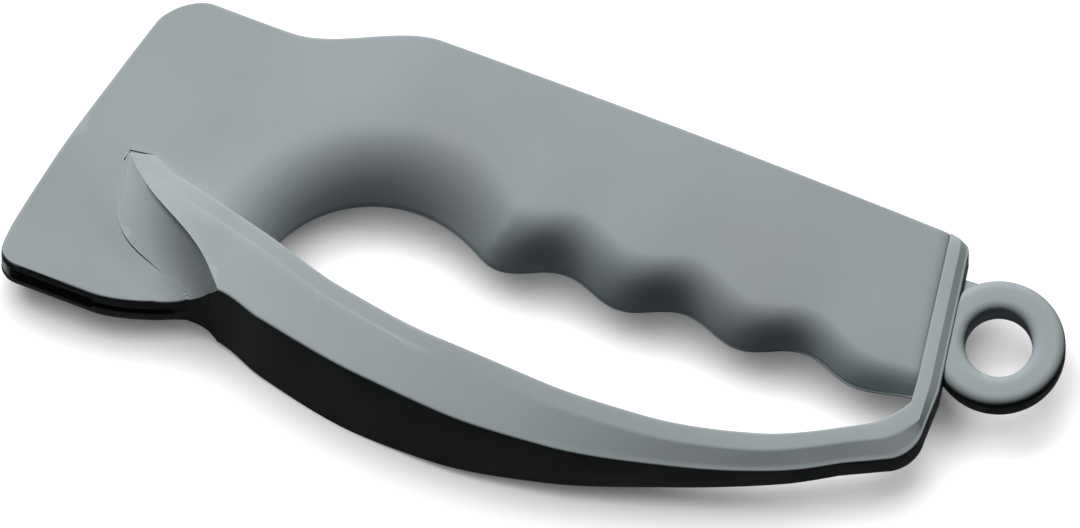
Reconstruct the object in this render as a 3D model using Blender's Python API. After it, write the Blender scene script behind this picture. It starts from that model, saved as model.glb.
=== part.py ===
# Pocket knife sharpener with a hand guard, lying on its side.
# Two moulded shells make the head and the grip. One moulding makes the guard, its wings,
# the tail plate and the lanyard eye. Two crossed hard-metal cutters sit in the head's slot.
#
# Local frame: X runs along the grip from the head to the lanyard eye, Y from the bow
# to the grip's back, Z out of the middle plane that the shells meet in.
# All lengths are in metres.

import math

import bmesh
import bpy
from mathutils import Matrix, Vector

# Clearances and cutting
FIT = 0.0003
HAIR = 0.0001
WELD = 0.000001
MERGE = 0.00001
FLAT_ANGLE = 0.0001
PARTING = 0.0003
OVERRUN = 0.002

# Head: flat cheeks, a leaning front edge, a straight belly that holds the slot
HEAD_HALF = 0.0049
FRONT_X = -0.0631
FRONT_SLOPE_SHARE = 0.238
FRONT_BOW = ((-0.0275, 0.0014), (-0.0251, 0.0004), (-0.0217, -0.0002), (-0.0149, -0.0006),
             (-0.0081, -0.0008), (0.0054, -0.0006), (0.0122, -0.0004), (0.0170, -0.0002))
HEAD_TOP_Y = 0.0170
TOP_CORNER_R = 0.0058
BELLY_Y = -0.0275
BELLY_CORNER_R = 0.0020
BELLY_RISE = 0.0075
BELLY_RISE_START_X = -0.0547
NOSE_X = -0.0422
CHEEK_FALL = 0.0008
CHEEK_FALL_START_Y = -0.0060
CHEEK_FALL_END_Y = -0.0230
CHEEK_FALL_OFF = 0.0025
CHEEK_FALL_FULL_OFF = 0.0090
EDGE_R = 0.0007

# Grip: a thick rounded body that thins towards the tail
GRIP_HALF = 0.0076
TAIL_HALF = 0.0034
SWELL_START_X = -0.0470
SWELL_FULL_X = -0.0220
TAPER_START_X = -0.0150
END_X = 0.0546
TAIL_SLOPE_SHARE = -0.162
BACK_Y = 0.0229
BACK_SLOPE_SHARE = 0.009
SADDLE_START_X = -0.0430
SADDLE_END_X = -0.0230
CROWN_DROP = 0.0010
CROWN_WIDTH = 0.0170
LAND_SHARE = 0.10
ROUND_POWER = 1.0
TAIL_DIP = 0.0006
TAIL_DIP_RUN = 0.0016

# Finger side of the grip: one round recess and three shallow waves
RECESS_X = -0.0177
RECESS_Y = -0.0174
RECESS_R = 0.0180
WAVE_CREST_X = -0.0049
WAVE_PITCH = 0.01716
WAVE_HEIGHT = 0.00117
WAVE_Y = -0.00155
WAVE_SLOPE_SHARE = 0.04
WAVE_COUNT = 3
LAST_WAVE_SHARE = 0.5
WAVE_BLEND = 0.0008
ROUND_SHARE = 1.0
RECESS_ROUND_SHARE = 0.30
RECESS_ROUND_START_X = -0.0140

# Tongue of the head between the guard's wings
TONGUE_STEP = 0.0020
TONGUE_STEP_RUN = 0.0006

# Scoop in each cheek in front of the wing: edge line, valley and sweep out to the cheek
WING_ROOT = (-0.0375, -0.0236)
WING_TIP = (-0.0573, -0.0066)
WING_BEND = 0.0007
SCOOP_FLOOR = 0.0012
SCOOP_START = 0.0037
SCOOP_SWEEP = 0.0150
SCOOP_TIP_SWEEP = 0.0090
SCOOP_LIFT = 0.0002
SCOOP_RISE_POWER = 1.7
SCOOP_FADE_POWER = 1.6
WALL_POWER = 3.0
WALL_STEEP_SHARE = 4.4
WALL_FADE_POWER = 2.0
WALL_TIP_STEEP_SHARE = 0.8
REBATE_DEPTH = 0.0002
REBATE_START_SHARE = 0.35

# Guard: depth, edge band and outlines
GUARD_HALF = 0.0134
GUARD_WIDEST_X = -0.0190
GUARD_TAIL_HALF = 0.0028
GUARD_TAIL_X = 0.0500
BAND_WIDTH = 0.0023
BAND_STEP = 0.0005
BAND_STEP_START_X = -0.0500
BAND_STEP_END_X = -0.0050
FLANK_DROP = 0.0012
FLANK_START_X = -0.0100
FLANK_FULL_X = 0.0200
GUARD_EDGE_R = 0.0006
EDGE_LIMIT_SHARE = 0.12
BAND_LIMIT_SHARE = 0.55
STEP_LIMIT_SHARE = 0.15
WING_CUT = 0.0012
WING_INNER_X = -0.0540
WING_INNER_END_X = -0.0420
WING_RISE_POWER = 2.2
GUARD_FALL_POWER = 0.85

# Guard outlines, each point as (share of the guard's length, share of its drop below Y = 0)
GUARD_START_X = -0.0573
GUARD_END_X = 0.0549
BOW_DROP = 0.0283
INNER_SHARES = ((0.028, 0.212), (0.060, 0.275), (0.097, 0.330), (0.205, 0.463), (0.308, 0.587),
                (0.440, 0.650), (0.573, 0.650), (0.700, 0.604), (0.840, 0.459), (0.950, 0.235),
                (1.0, 0.110))
OUTER_SHARES = ((0.134, 0.800), (0.176, 0.815), (0.234, 0.888), (0.377, 0.986), (0.475, 1.0),
                (0.604, 0.943), (0.757, 0.777), (0.882, 0.587), (0.945, 0.445), (0.985, 0.335))
BOW_START_SHARE = 0.150
BOW_END_SHARE = 0.950
BOW_OUTER_END_SHARE = 0.945

# Tail plate and its round bottom corner
PLATE_HALF = 0.0039
PLATE_TOP_THICK = 0.0028
PLATE_ROOT_THICK = 0.0031
PLATE_TOP_Y = 0.0236
PLATE_BAND_SHARE = 0.72
PLATE_DROP = 0.0008
PLATE_CORNER_R = 0.0016
PLATE_STEP = 0.0001
PLATE_SHARES = (0.10, 0.35, 0.62, 0.85)
PLATE_CORNER_SHARES = (1.0, 0.5, 0.15, 0.0)
PLATE_EDGE_SHARE = 0.6
PLATE_FACE_SHARE = 0.5
CORNER_X = 0.0520
CORNER_Y = -0.0046
CORNER_R = 0.0057
CORNER_START = math.radians(-62.0)
CORNER_TURN = math.radians(68.0)
CORNER_POWER = 0.7
CORNER_LIFT_SHARE = 0.4

# Lanyard eye
EYE_X = 0.0625
EYE_Y = 0.0116
EYE_R = 0.0091
EYE_HOLE_R = 0.0046
EYE_HALF = 0.0027
EYE_ROUND = 0.0015
EYE_WEB_HALF = 0.0019
EYE_WEB_TOP_Y = 0.0183
EYE_WEB_BOTTOM_Y = 0.0045
WEB_REACH_SHARE = 0.6
WEB_LOW_SHARE = 1.5
WEB_HIGH_SHARE = 1.55

# Tenon of the tail plate inside the grip
TENON_LENGTH = 0.0085
TENON_HEIGHT = 0.0080
TENON_HALF = 0.0011
TENON_Y = 0.0120

# Walls, ribs and screws of the shells
WALL = 0.0020
RIB_THICK = 0.0014
RIB_XS = (-0.0170, 0.0140, 0.0290)
SCREW_SPOTS = (("head_screw", -0.0535, 0.0090), ("neck_screw", -0.0329, 0.0100),
               ("grip_screw", 0.0020, 0.0120), ("tail_screw", 0.0478, 0.0120))
SCREW_R = 0.00125
SCREW_HEAD_R = 0.0025
SCREW_HEAD_HEIGHT = 0.0012
SCREW_SEAT = 0.0022
SCREW_LENGTH = 0.0053
SCREW_CROSS_WIDTH = 0.0006
SCREW_CROSS_DEPTH = 0.0006
SCREW_CROSS_SHARE = 0.7
BOSS_R = 0.0042

# Knife slot along the belly, from the front edge to where the belly has risen
SLOT_HALF = 0.0010
SLOT_MOUTH_HALF = 0.0020
SLOT_MOUTH_DEPTH = 0.0016
SLOT_DEPTH = 0.0072
SLOT_FULL_X = -0.0560
SLOT_EXIT_X = -0.0438

# Cutter set in the head
SMALL_FIT = 0.00015
CARRIER_X = -0.0645
CARRIER_LENGTH = 0.0084
CARRIER_Y = -0.0256
CARRIER_HEIGHT = 0.0118
CARRIER_HALF = 0.0025
CUTTER_THICK = 0.0014
CUTTER_GAP = 0.0012
CUTTER_WIDTH = 0.0014
CUTTER_BELOW = 0.0026
CUTTER_ABOVE = 0.0036
CUTTER_TILT = math.radians(18.0)
APEX_DEPTH = 0.0050
KEEPER_THICK = 0.0004
KEEPER_MARGIN = 0.0004
KEEPER_SCREW_R = 0.0007
KEEPER_SCREW_HEAD_R = 0.0013
KEEPER_SCREW_HEAD = 0.00025
KEEPER_SCREW_LENGTH = 0.0024
KEEPER_SCREW_INSET = 0.0019

# Guard pin through both wings and the tongue
PIN_X = -0.0412
PIN_Y = -0.0154
PIN_R = 0.0012
PIN_FAR_Z = -0.0095
PIN_NEAR_Z = 0.0088

# Smoothness
BODY_POINTS = 9
CAVITY_POINTS = 5
FRONT_STEP_SHARES = (0.0, 0.08, 0.3, 0.6, 1.0)
FORK_STEP_SHARES = (0.0005, 0.006, 0.02, 0.05, 0.095, 0.16, 0.24)
TAIL_STEP_SHARES = (1.0, 0.5, 0.15)
FINGER_STEP_POWER = 2.0
BACK_STEP_POWER = 2.6
WALL_STEP_SHARES = (0.0, 0.08, 0.18, 0.3, 0.44, 0.6, 0.8, 1.0)
SWEEP_STEP_SHARES = (0.14, 0.28, 0.44, 0.6, 0.8, 1.0)
SWEEP_REACH_SHARE = 1.05
ROUND_SEGMENTS = 24
EYE_SEGMENTS = 40

# Colours as linear red, green and blue
GREY_PLASTIC = (0.33, 0.37, 0.38, 1.0)
BLACK_PLASTIC = (0.03, 0.032, 0.034, 1.0)
HARD_METAL = (0.18, 0.18, 0.19, 1.0)
STEEL = (0.55, 0.56, 0.57, 1.0)

OBJECT_NAME = "pocket_knife_sharpener"
NEAR = 1.0
FAR = -1.0


# Curves and blends

def clamp(value, low=0.0, high=1.0):
    return max(low, min(high, value))


def smooth_step(start, end, value):
    """Run from 0 at start to 1 at end, flat at both."""
    share = clamp((value - start) / (end - start))
    return share * share * (3.0 - 2.0 * share)


def smooth_max(first, second, blend):
    """Return the larger value, rounded over where the two are nearly equal."""
    reach = clamp(0.5 + 0.5 * (first - second) / blend)
    return second + (first - second) * reach + blend * reach * (1.0 - reach)


def quarter_round(distance, width):
    """Rise from 0 at the edge to 1 at the given width, like a quarter circle."""
    share = clamp(distance / width)
    return math.sqrt(1.0 - (1.0 - share) ** 2)


def through(knots, x):
    """Smooth curve through (x, y) knots, without overshoot between them."""
    if x <= knots[0][0]:
        return knots[0][1]
    if x >= knots[-1][0]:
        return knots[-1][1]
    slopes = [(b[1] - a[1]) / (b[0] - a[0]) for a, b in zip(knots, knots[1:])]
    bends = [slopes[0]] + [knot_slope(a, b) for a, b in zip(slopes, slopes[1:])] + [slopes[-1]]
    index = max(i for i, knot in enumerate(knots[:-1]) if knot[0] <= x)
    left, right = knots[index], knots[index + 1]
    run = right[0] - left[0]
    t = (x - left[0]) / run
    start = (1.0 + 2.0 * t) * (1.0 - t) ** 2 * left[1] + t * (1.0 - t) ** 2 * run * bends[index]
    end = t * t * (3.0 - 2.0 * t) * right[1] + t * t * (t - 1.0) * run * bends[index + 1]
    return start + end


def knot_slope(before, after):
    """Slope at a knot: the harmonic mean of its neighbours, or level at a turning point."""
    if before * after <= 0.0:
        return 0.0
    return 2.0 * before * after / (before + after)


def guard_x(share):
    return GUARD_START_X + share * (GUARD_END_X - GUARD_START_X)


def outline_knots(shares):
    """Turn an outline's shares into points of the guard."""
    return [(guard_x(along), -drop * BOW_DROP) for along, drop in shares]


# Outline of head and grip

def top_y(x):
    """Upper edge: the head's top, the saddle and the grip's straight back."""
    back = BACK_Y + BACK_SLOPE_SHARE * x
    return HEAD_TOP_Y + (back - HEAD_TOP_Y) * smooth_step(SADDLE_START_X, SADDLE_END_X, x)


def belly_y(x):
    """Lower edge of the head, then the tongue's lower edge behind the nose."""
    end_x = RECESS_X - RECESS_R
    share = clamp((x - BELLY_RISE_START_X) / (end_x - BELLY_RISE_START_X))
    step = TONGUE_STEP * smooth_step(NOSE_X, NOSE_X + TONGUE_STEP_RUN, x)
    return BELLY_Y + BELLY_RISE * share ** 1.6 + step


def wave_y(x):
    """Finger side behind the recess: shallow waves on a nearly level line."""
    turn = 2.0 * math.pi * (x - WAVE_CREST_X) / WAVE_PITCH
    last_crest = WAVE_CREST_X + WAVE_COUNT * WAVE_PITCH
    height = WAVE_HEIGHT
    if x > last_crest:
        height = WAVE_HEIGHT * LAST_WAVE_SHARE
    lift = height * (1.0 - math.cos(turn)) - WAVE_HEIGHT
    return WAVE_Y + WAVE_SLOPE_SHARE * x + lift


def finger_y(x, grow):
    """Finger side of the grip at x: the recess circle or the waves, whichever is higher."""
    radius = RECESS_R - grow
    reach = radius * radius - (x - RECESS_X) ** 2
    circle = RECESS_Y + math.sqrt(max(reach, 0.0))
    if x < RECESS_X:
        return circle
    return smooth_max(circle, wave_y(x) - grow, WAVE_BLEND)


def low_y(x, grow):
    """Lower outline of the body, from the belly over the recess to the waves."""
    if x < RECESS_X - RECESS_R + grow:
        return belly_y(x) - grow
    return finger_y(x, grow)


def shift(x, y):
    """Lean of the section at x: along the head's bowed front, upright, then along the tail."""
    front = 1.0 - smooth_step(FRONT_X, SADDLE_START_X, x)
    tail = smooth_step(TAPER_START_X, END_X, x)
    return (FRONT_SLOPE_SHARE * y + through(FRONT_BOW, y)) * front + TAIL_SLOPE_SHARE * y * tail


def corner_drop(distance, radius):
    """How far a rounded corner lies inside the sharp one."""
    return radius * (1.0 - quarter_round(distance, radius))


def settle(x, grow, edge):
    """Y where the slanted section through x meets an outline."""
    y = 0.0
    for _ in range(12):
        y = edge(x + shift(x, y), grow)
    return y


def section_ends(x, grow):
    """Lowest and highest Y of the section at x, with the head's corners rounded."""
    into = max(x - (FRONT_X - grow), 0.0)
    low = settle(x, grow, low_y) + corner_drop(into, BELLY_CORNER_R)
    high = settle(x, grow, lambda px, g: top_y(px) + g) - corner_drop(into, TOP_CORNER_R)
    return low, high


# Thickness of head and grip

def plateau(x):
    """Half thickness of the body before its edges are rounded."""
    swell = smooth_step(SWELL_START_X, SWELL_FULL_X, x)
    taper = clamp((x - TAPER_START_X) / (END_X - TAPER_START_X))
    return HEAD_HALF + (GRIP_HALF - HEAD_HALF) * swell - (GRIP_HALF - TAIL_HALF) * taper ** 2


def finger_round(distance, width):
    """Rise from 0 at the finger side to 1, steady at first and level at the end."""
    return (1.0 - (1.0 - clamp(distance / width)) ** 2) ** ROUND_POWER


def finger_distance(x, y, grow):
    """Distance of a point from the finger side's outline."""
    circle = math.hypot(x - RECESS_X, y - RECESS_Y) - RECESS_R + grow
    if x < RECESS_X - RECESS_R + grow:
        return circle
    return min(circle, y - finger_y(x, grow))


def round_width(x):
    """Width of the finger side's rounding, widest at the recess."""
    extra = 1.0 - smooth_step(RECESS_ROUND_START_X, 0.0, x)
    thick = plateau(max(x, SWELL_FULL_X))
    return thick * (ROUND_SHARE + RECESS_ROUND_SHARE * extra)


def cheek_fall(x, y):
    """Sink of the cheek towards the belly, away from the wing."""
    off = wing_place(x, y)[1]
    down = smooth_step(CHEEK_FALL_START_Y, CHEEK_FALL_END_Y, y)
    return CHEEK_FALL * down * smooth_step(CHEEK_FALL_OFF, CHEEK_FALL_FULL_OFF, off)


def body_height(x, y, ends, into, grow):
    """Half thickness of the body at a point of the section."""
    near_finger = max(finger_distance(x, y, grow), 0.0)
    crown = clamp(1.0 - near_finger / CROWN_WIDTH) ** 2
    full = plateau(x) - CROWN_DROP * crown * smooth_step(SWELL_START_X, SWELL_FULL_X, x)
    land = LAND_SHARE * plateau(x)
    height = land + (full - land) * finger_round(near_finger, round_width(x)) + grow
    height -= cheek_fall(x, y)
    rim = min(ends[1] - y, into)
    if x < RECESS_X - RECESS_R:
        rim = min(rim, y - ends[0])
    return height - corner_drop(max(rim, 0.0), EDGE_R)


def tail_dip(x, grow):
    """Soft shoulder of the grip in front of the tail plate."""
    left = END_X + grow - x
    return TAIL_DIP * (1.0 - quarter_round(left, TAIL_DIP_RUN))


# Scoop in the cheeks

WING_RUN = Vector(WING_TIP) - Vector(WING_ROOT)
WING_LENGTH = WING_RUN.length
ALONG_WING = WING_RUN.normalized()
OFF_WING = Vector((-ALONG_WING.y, ALONG_WING.x))


def wing_bend(along):
    """Gentle S of the wing's lower edge about its straight line."""
    return -WING_BEND * math.sin(2.0 * math.pi * clamp(along / WING_LENGTH))


def tipward(start, end, along):
    """Blend a size from the wing's root to its tip."""
    return start + (end - start) * clamp(along / WING_LENGTH)


def scoop_depth(along):
    """Half thickness left at the bottom of the scoop."""
    share = clamp((along - SCOOP_START) / (WING_LENGTH - SCOOP_START))
    rim = HEAD_HALF + SCOOP_LIFT
    return rim - (rim - SCOOP_FLOOR) * (1.0 - share) ** SCOOP_FADE_POWER


def scoop_sweep(along):
    """Width of the scoop's rise from its bottom to the cheek."""
    return tipward(SCOOP_SWEEP, SCOOP_TIP_SWEEP, along)


def wall_steepness(along):
    left = (1.0 - clamp(along / WING_LENGTH)) ** WALL_FADE_POWER
    return WALL_TIP_STEEP_SHARE + (WALL_STEEP_SHARE - WALL_TIP_STEEP_SHARE) * left


def wall_run(along, top):
    """Width of the wall beside the wing, which starts steep and flattens out."""
    return max(WALL_POWER * (top - scoop_depth(along)) / wall_steepness(along), FIT)


def scoop_surface(along, off, top):
    """Height of the scoop off the wing's edge: its wall on top of a long rise to the cheek."""
    floor = scoop_depth(along)
    reach = clamp(off / scoop_sweep(along))
    rise = 1.0 - (1.0 - reach) ** SCOOP_RISE_POWER
    wall = (top - floor) * clamp(1.0 - off / wall_run(along, top)) ** WALL_POWER
    return floor + (HEAD_HALF + SCOOP_LIFT - floor) * rise + wall


def wing_place(x, y):
    """Distances of a point along the wing's edge and off it."""
    spot = Vector((x, y)) - Vector(WING_ROOT)
    along = spot.dot(ALONG_WING)
    return along, spot.dot(OFF_WING) - wing_bend(along)


def wing_spot(along, off):
    """Point at a distance along the wing's edge and off it."""
    return Vector(WING_ROOT) + ALONG_WING * along + OFF_WING * (off + wing_bend(along))


def wing_top(along):
    return guard_depth(wing_spot(along, 0.0).x)


def seam_off(along, height):
    """Distance off the wing's edge at which the scoop's wall has fallen to a height."""
    top = wing_top(along)
    near, far = 0.0, wall_run(along, top)
    for _ in range(24):
        middle = (near + far) / 2.0
        if scoop_surface(along, middle, top) > height:
            near = middle
        else:
            far = middle
    return near


def scooped(x, y, height, grow):
    """Lower a point of the cheek to the scoop's surface."""
    along, off = wing_place(x, y)
    if off <= 0.0 or along > WING_LENGTH:
        return height
    return min(height, scoop_surface(along, off, wing_top(along)) + grow)


# Meshes

def new_object(name, mesh, collection):
    thing = bpy.data.objects.new(name, mesh)
    collection.objects.link(thing)
    return thing


def cap(bm, row, bent):
    """Close a ring; a bent one runs out and back, and gets a ladder of faces."""
    if not bent:
        bm.faces.new(row)
        return
    for i in range(len(row) // 2 - 1):
        bm.faces.new((row[i], row[i + 1], row[-i - 2], row[-i - 1]))


def loft(name, rings, collection, bent=False):
    """Closed solid through rings of equal count, capped at both ends."""
    bm = bmesh.new()
    rows = [[bm.verts.new(point) for point in ring] for ring in rings]
    count = len(rows[0])
    for row, after in zip(rows, rows[1:]):
        for i in range(count):
            j = (i + 1) % count
            bm.faces.new((row[i], row[j], after[j], after[i]))
    cap(bm, rows[0], bent)
    cap(bm, rows[-1], bent)
    return finish_mesh(name, bm, collection)


def finish_mesh(name, bm, collection):
    """Turn a bmesh into an object whose faces are flat and point out."""
    bent = [face for face in bm.faces if len(face.verts) == 4]
    bmesh.ops.connect_verts_nonplanar(bm, angle_limit=FLAT_ANGLE, faces=bent)
    bmesh.ops.recalc_face_normals(bm, faces=bm.faces)
    mesh = bpy.data.meshes.new(name)
    bm.to_mesh(mesh)
    bm.free()
    return new_object(name, mesh, collection)


def box(name, low, high, collection):
    bm = bmesh.new()
    bmesh.ops.create_cube(bm, size=1.0)
    size = Vector(high) - Vector(low)
    middle = (Vector(high) + Vector(low)) / 2.0
    bm.transform(Matrix.Translation(middle) @ Matrix.Diagonal((*size, 1.0)))
    return finish_mesh(name, bm, collection)


def rod(name, spot, bottom, top, radius, collection, segments=ROUND_SEGMENTS):
    """Upright cylinder along Z between two heights."""
    bm = bmesh.new()
    bmesh.ops.create_cone(bm, cap_ends=True, segments=segments, radius1=radius,
                          radius2=radius, depth=top - bottom)
    bm.transform(Matrix.Translation((spot[0], spot[1], (top + bottom) / 2.0)))
    return finish_mesh(name, bm, collection)


def weld(thing, distance):
    """Merge points that a cut leaves next to each other, and close pinholes."""
    bm = bmesh.new()
    bm.from_mesh(thing.data)
    bmesh.ops.remove_doubles(bm, verts=bm.verts, dist=distance)
    bmesh.ops.dissolve_degenerate(bm, edges=bm.edges, dist=distance)
    rims = [edge for edge in bm.edges if edge.is_boundary]
    bmesh.ops.holes_fill(bm, edges=rims, sides=4)
    bm.to_mesh(thing.data)
    bm.free()


def boolean(target, other, operation):
    """Cut with, or join to, another solid and keep the result as the target's mesh."""
    modifier = target.modifiers.new(operation.lower(), "BOOLEAN")
    modifier.operation = operation
    modifier.object = other
    depsgraph = bpy.context.evaluated_depsgraph_get()
    mesh = bpy.data.meshes.new_from_object(target.evaluated_get(depsgraph))
    target.modifiers.remove(modifier)
    target.data = mesh
    weld(target, WELD)


def cut(target, cutters):
    for cutter in cutters:
        boolean(target, cutter, "DIFFERENCE")


def join(target, others):
    for other in others:
        boolean(target, other, "UNION")


def tidy(thing):
    """Merge the hairline edges that cuts leave, and triangulate."""
    weld(thing, MERGE)
    bm = bmesh.new()
    bm.from_mesh(thing.data)
    bmesh.ops.triangulate(bm, faces=bm.faces)
    bm.to_mesh(thing.data)
    bm.free()


def paint(thing, material):
    thing.data.materials.clear()
    thing.data.materials.append(material)
    thing.data.shade_smooth()
    thing.data.set_sharp_from_angle(angle=math.radians(35.0))


# Body solids

def spread(start, end, count):
    return [start + (end - start) * i / count for i in range(count)]


def body_stations(grow, fineness):
    """X of each section: close at the front's rounding, the recess's end and the waves."""
    front = FRONT_X - grow
    fork = RECESS_X - RECESS_R + grow
    last = WAVE_CREST_X + WAVE_COUNT * WAVE_PITCH
    xs = [front + EDGE_R * share for share in FRONT_STEP_SHARES]
    xs += spread(front + 2.0 * EDGE_R, front + TOP_CORNER_R, 3)
    xs += spread(front + TOP_CORNER_R, NOSE_X, round(7 * fineness))
    xs += [NOSE_X, NOSE_X + TONGUE_STEP_RUN]
    xs += spread(NOSE_X + 2.0 * TONGUE_STEP_RUN, fork - HAIR, round(4 * fineness))
    xs += [fork - HAIR]
    xs += [fork + RECESS_R * share for share in FORK_STEP_SHARES]
    xs += spread(fork + RECESS_R / 3.0, WAVE_CREST_X, round(8 * fineness))
    xs += spread(WAVE_CREST_X, last, round(8 * WAVE_COUNT * fineness))
    end = END_X + grow
    xs += spread(last, end - TAIL_DIP_RUN, round(2 * fineness))
    xs += [end - TAIL_DIP_RUN * share for share in TAIL_STEP_SHARES]
    return sorted(x for x in xs if x < end) + [end]


def section_shares(points):
    """Places across a section, closest together at both edges."""
    finger = [0.5 * (i / points) ** FINGER_STEP_POWER for i in range(points + 1)]
    back = [1.0 - 0.5 * (i / points) ** BACK_STEP_POWER for i in range(points)]
    return finger + list(reversed(back))


def section_heights(x, grow, points, carve):
    """Points over one section of the body, from its finger side to its back."""
    low, high = section_ends(x, grow)
    into = max(x - (FRONT_X - grow), 0.0)
    heights = []
    for share in section_shares(points):
        y = low + share * (high - low)
        px = x + shift(x, y)
        height = body_height(px, y, (low, high), into, grow) - tail_dip(x, grow)
        if carve:
            height = scooped(px, y, height, grow)
        heights.append((px, y, height))
    return heights


def body_half(name, side, floor, collection):
    """Outer form of one shell, flat at the parting plane."""
    rings = []
    for x in body_stations(0.0, 1.0):
        top = section_heights(x, 0.0, BODY_POINTS, False)
        ring = [(px, y, side * max(z, floor + HAIR)) for px, y, z in top]
        rings.append(ring + [(px, y, side * floor) for px, y, z in reversed(top)])
    return loft(name, rings, collection, True)


def cavity_form(side, collection):
    """Hollow of one shell, a wall thickness inside its outer form and its scoop."""
    rings = []
    for x in body_stations(-WALL, 0.6):
        top = section_heights(x, -WALL, CAVITY_POINTS, True)
        ring = [(px, y, side * max(z, HAIR - OVERRUN)) for px, y, z in top]
        rings.append(ring + [(px, y, -side * OVERRUN) for px, y, z in reversed(top)])
    return loft("cavity", rings, collection, True)


def grown_body(name, grow, collection):
    """Both halves of the body without the scoops, grown by a clearance."""
    rings = []
    for x in body_stations(grow, 1.0):
        top = section_heights(x, grow, BODY_POINTS, False)
        rings.append(top + [(px, y, -z) for px, y, z in reversed(top)])
    return loft(name, rings, collection, True)


# Guard

def guard_depth(x):
    """Half depth of the guard at its outer face."""
    if x < GUARD_WIDEST_X:
        share = clamp((GUARD_WIDEST_X - x) / (GUARD_WIDEST_X - WING_TIP[0]))
        return GUARD_HALF - (GUARD_HALF - HEAD_HALF) * share ** WING_RISE_POWER
    share = clamp((x - GUARD_WIDEST_X) / (GUARD_TAIL_X - GUARD_WIDEST_X)) ** GUARD_FALL_POWER
    fall = 0.5 * (1.0 - math.cos(math.pi * share))
    return GUARD_HALF - (GUARD_HALF - GUARD_TAIL_HALF) * fall


def guard_section(inner, outer, depths, band, step_width):
    """Section between an inner and an outer point, from the band over the flank."""
    band_half, flank_half, outer_half = depths
    run = Vector(outer) - Vector(inner)
    width = run.length
    r = min(GUARD_EDGE_R, EDGE_LIMIT_SHARE * width)
    band = min(band, BAND_LIMIT_SHARE * width)
    crease = band + min(step_width, STEP_LIMIT_SHARE * width)
    half = [(0.0, band_half - r), (0.3 * r, band_half - 0.3 * r), (r, band_half),
            (band, band_half), (crease, flank_half),
            (width - r, outer_half), (width, outer_half - r)]
    ring = half + [(off, -z) for off, z in reversed(half)]
    return [(*(Vector(inner) + run * (off / width)), z) for off, z in ring]


def bow_depths(x):
    """Half depths of the band, of the flank beside it and of the outer face."""
    outer = guard_depth(x)
    flank = outer + FLANK_DROP * smooth_step(FLANK_START_X, FLANK_FULL_X, x)
    step = BAND_STEP * (1.0 - smooth_step(GUARD_WIDEST_X, BAND_STEP_END_X, x))
    step *= smooth_step(WING_TIP[0], BAND_STEP_START_X, x)
    return flank - step, flank, outer


def wing_sections():
    """Sections from the wing's thin tip to the nose of the guard."""
    rings = []
    knots = outline_knots(INNER_SHARES)
    start = WING_LENGTH - WING_CUT
    count = 12
    for i in range(count + 1):
        share = i / count
        along = start + (SCOOP_START - start) * share
        crest = wing_spot(along, 0.0)
        outer = wing_spot(along, seam_off(along, HEAD_HALF + FIT) + 2.0 * FIT)
        inner_x = WING_INNER_X + (WING_INNER_END_X - WING_INNER_X) * share
        inner = (inner_x, through(knots, inner_x))
        depths = bow_depths(crest.x + ((inner_x + crest.x) / 2.0 - crest.x) * share)
        rings.append(guard_section(inner, outer, depths, BAND_WIDTH, BAND_STEP))
    return rings


def bow_sections():
    """Sections of the bow, from the nose to where its round tail corner starts."""
    inner, outer = outline_knots(INNER_SHARES), outline_knots(OUTER_SHARES)
    start_in, end_in = guard_x(BOW_START_SHARE), guard_x(BOW_END_SHARE)
    start_out, end_out = NOSE_X + TONGUE_STEP, guard_x(BOW_OUTER_END_SHARE)
    count = 30
    rings = []
    for i in range(1, count + 1):
        share = i / count
        inner_x = start_in + (end_in - start_in) * share
        outer_x = start_out + (end_out - start_out) * share
        points = (inner_x, through(inner, inner_x)), (outer_x, through(outer, outer_x))
        depths = bow_depths((inner_x + outer_x) / 2.0)
        rings.append(guard_section(*points, depths, BAND_WIDTH, BAND_STEP))
    return rings


def plate_inner_x(y):
    return GUARD_END_X + TAIL_SLOPE_SHARE * y


def corner_sections():
    """Sections around the tail corner, turning from the bow to the plate."""
    knots = outline_knots(INNER_SHARES)
    join_x = guard_x(BOW_END_SHARE)
    rings = []
    turns = 6
    for i in range(1, turns + 1):
        share = i / turns
        angle = CORNER_START + CORNER_TURN * share
        outer = (CORNER_X + CORNER_R * math.cos(angle), CORNER_Y + CORNER_R * math.sin(angle))
        inner_x = join_x + (plate_inner_x(0.0) - join_x) * share ** CORNER_POWER
        lift = share * share * CORNER_R * CORNER_LIFT_SHARE
        inner = (inner_x, through(knots, inner_x) + lift)
        blend = zip(bow_depths(join_x), plate_depths())
        depths = [bow + (plate - bow) * share for bow, plate in blend]
        rings.append(guard_section(inner, outer, depths, BAND_WIDTH, BAND_STEP))
    return rings


def plate_depths():
    return PLATE_HALF, PLATE_HALF, PLATE_HALF - PLATE_DROP


def plate_sections():
    """Sections up the tail plate, which thins towards its round top."""
    rings = []
    heights = [PLATE_TOP_Y * share for share in PLATE_SHARES]
    heights += [PLATE_TOP_Y - PLATE_CORNER_R * share for share in PLATE_CORNER_SHARES]
    for y in heights:
        full = PLATE_ROOT_THICK + (PLATE_TOP_THICK - PLATE_ROOT_THICK) * y / PLATE_TOP_Y
        drop = corner_drop(max(PLATE_TOP_Y - y, 0.0), PLATE_CORNER_R)
        thick = full - PLATE_EDGE_SHARE * drop
        inner = (plate_inner_x(y), y)
        outer = (inner[0] + thick, y + TAIL_SLOPE_SHARE * full)
        depths = [depth - PLATE_FACE_SHARE * drop for depth in plate_depths()]
        rings.append(guard_section(inner, outer, depths, PLATE_BAND_SHARE * thick, PLATE_STEP))
    return rings


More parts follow.
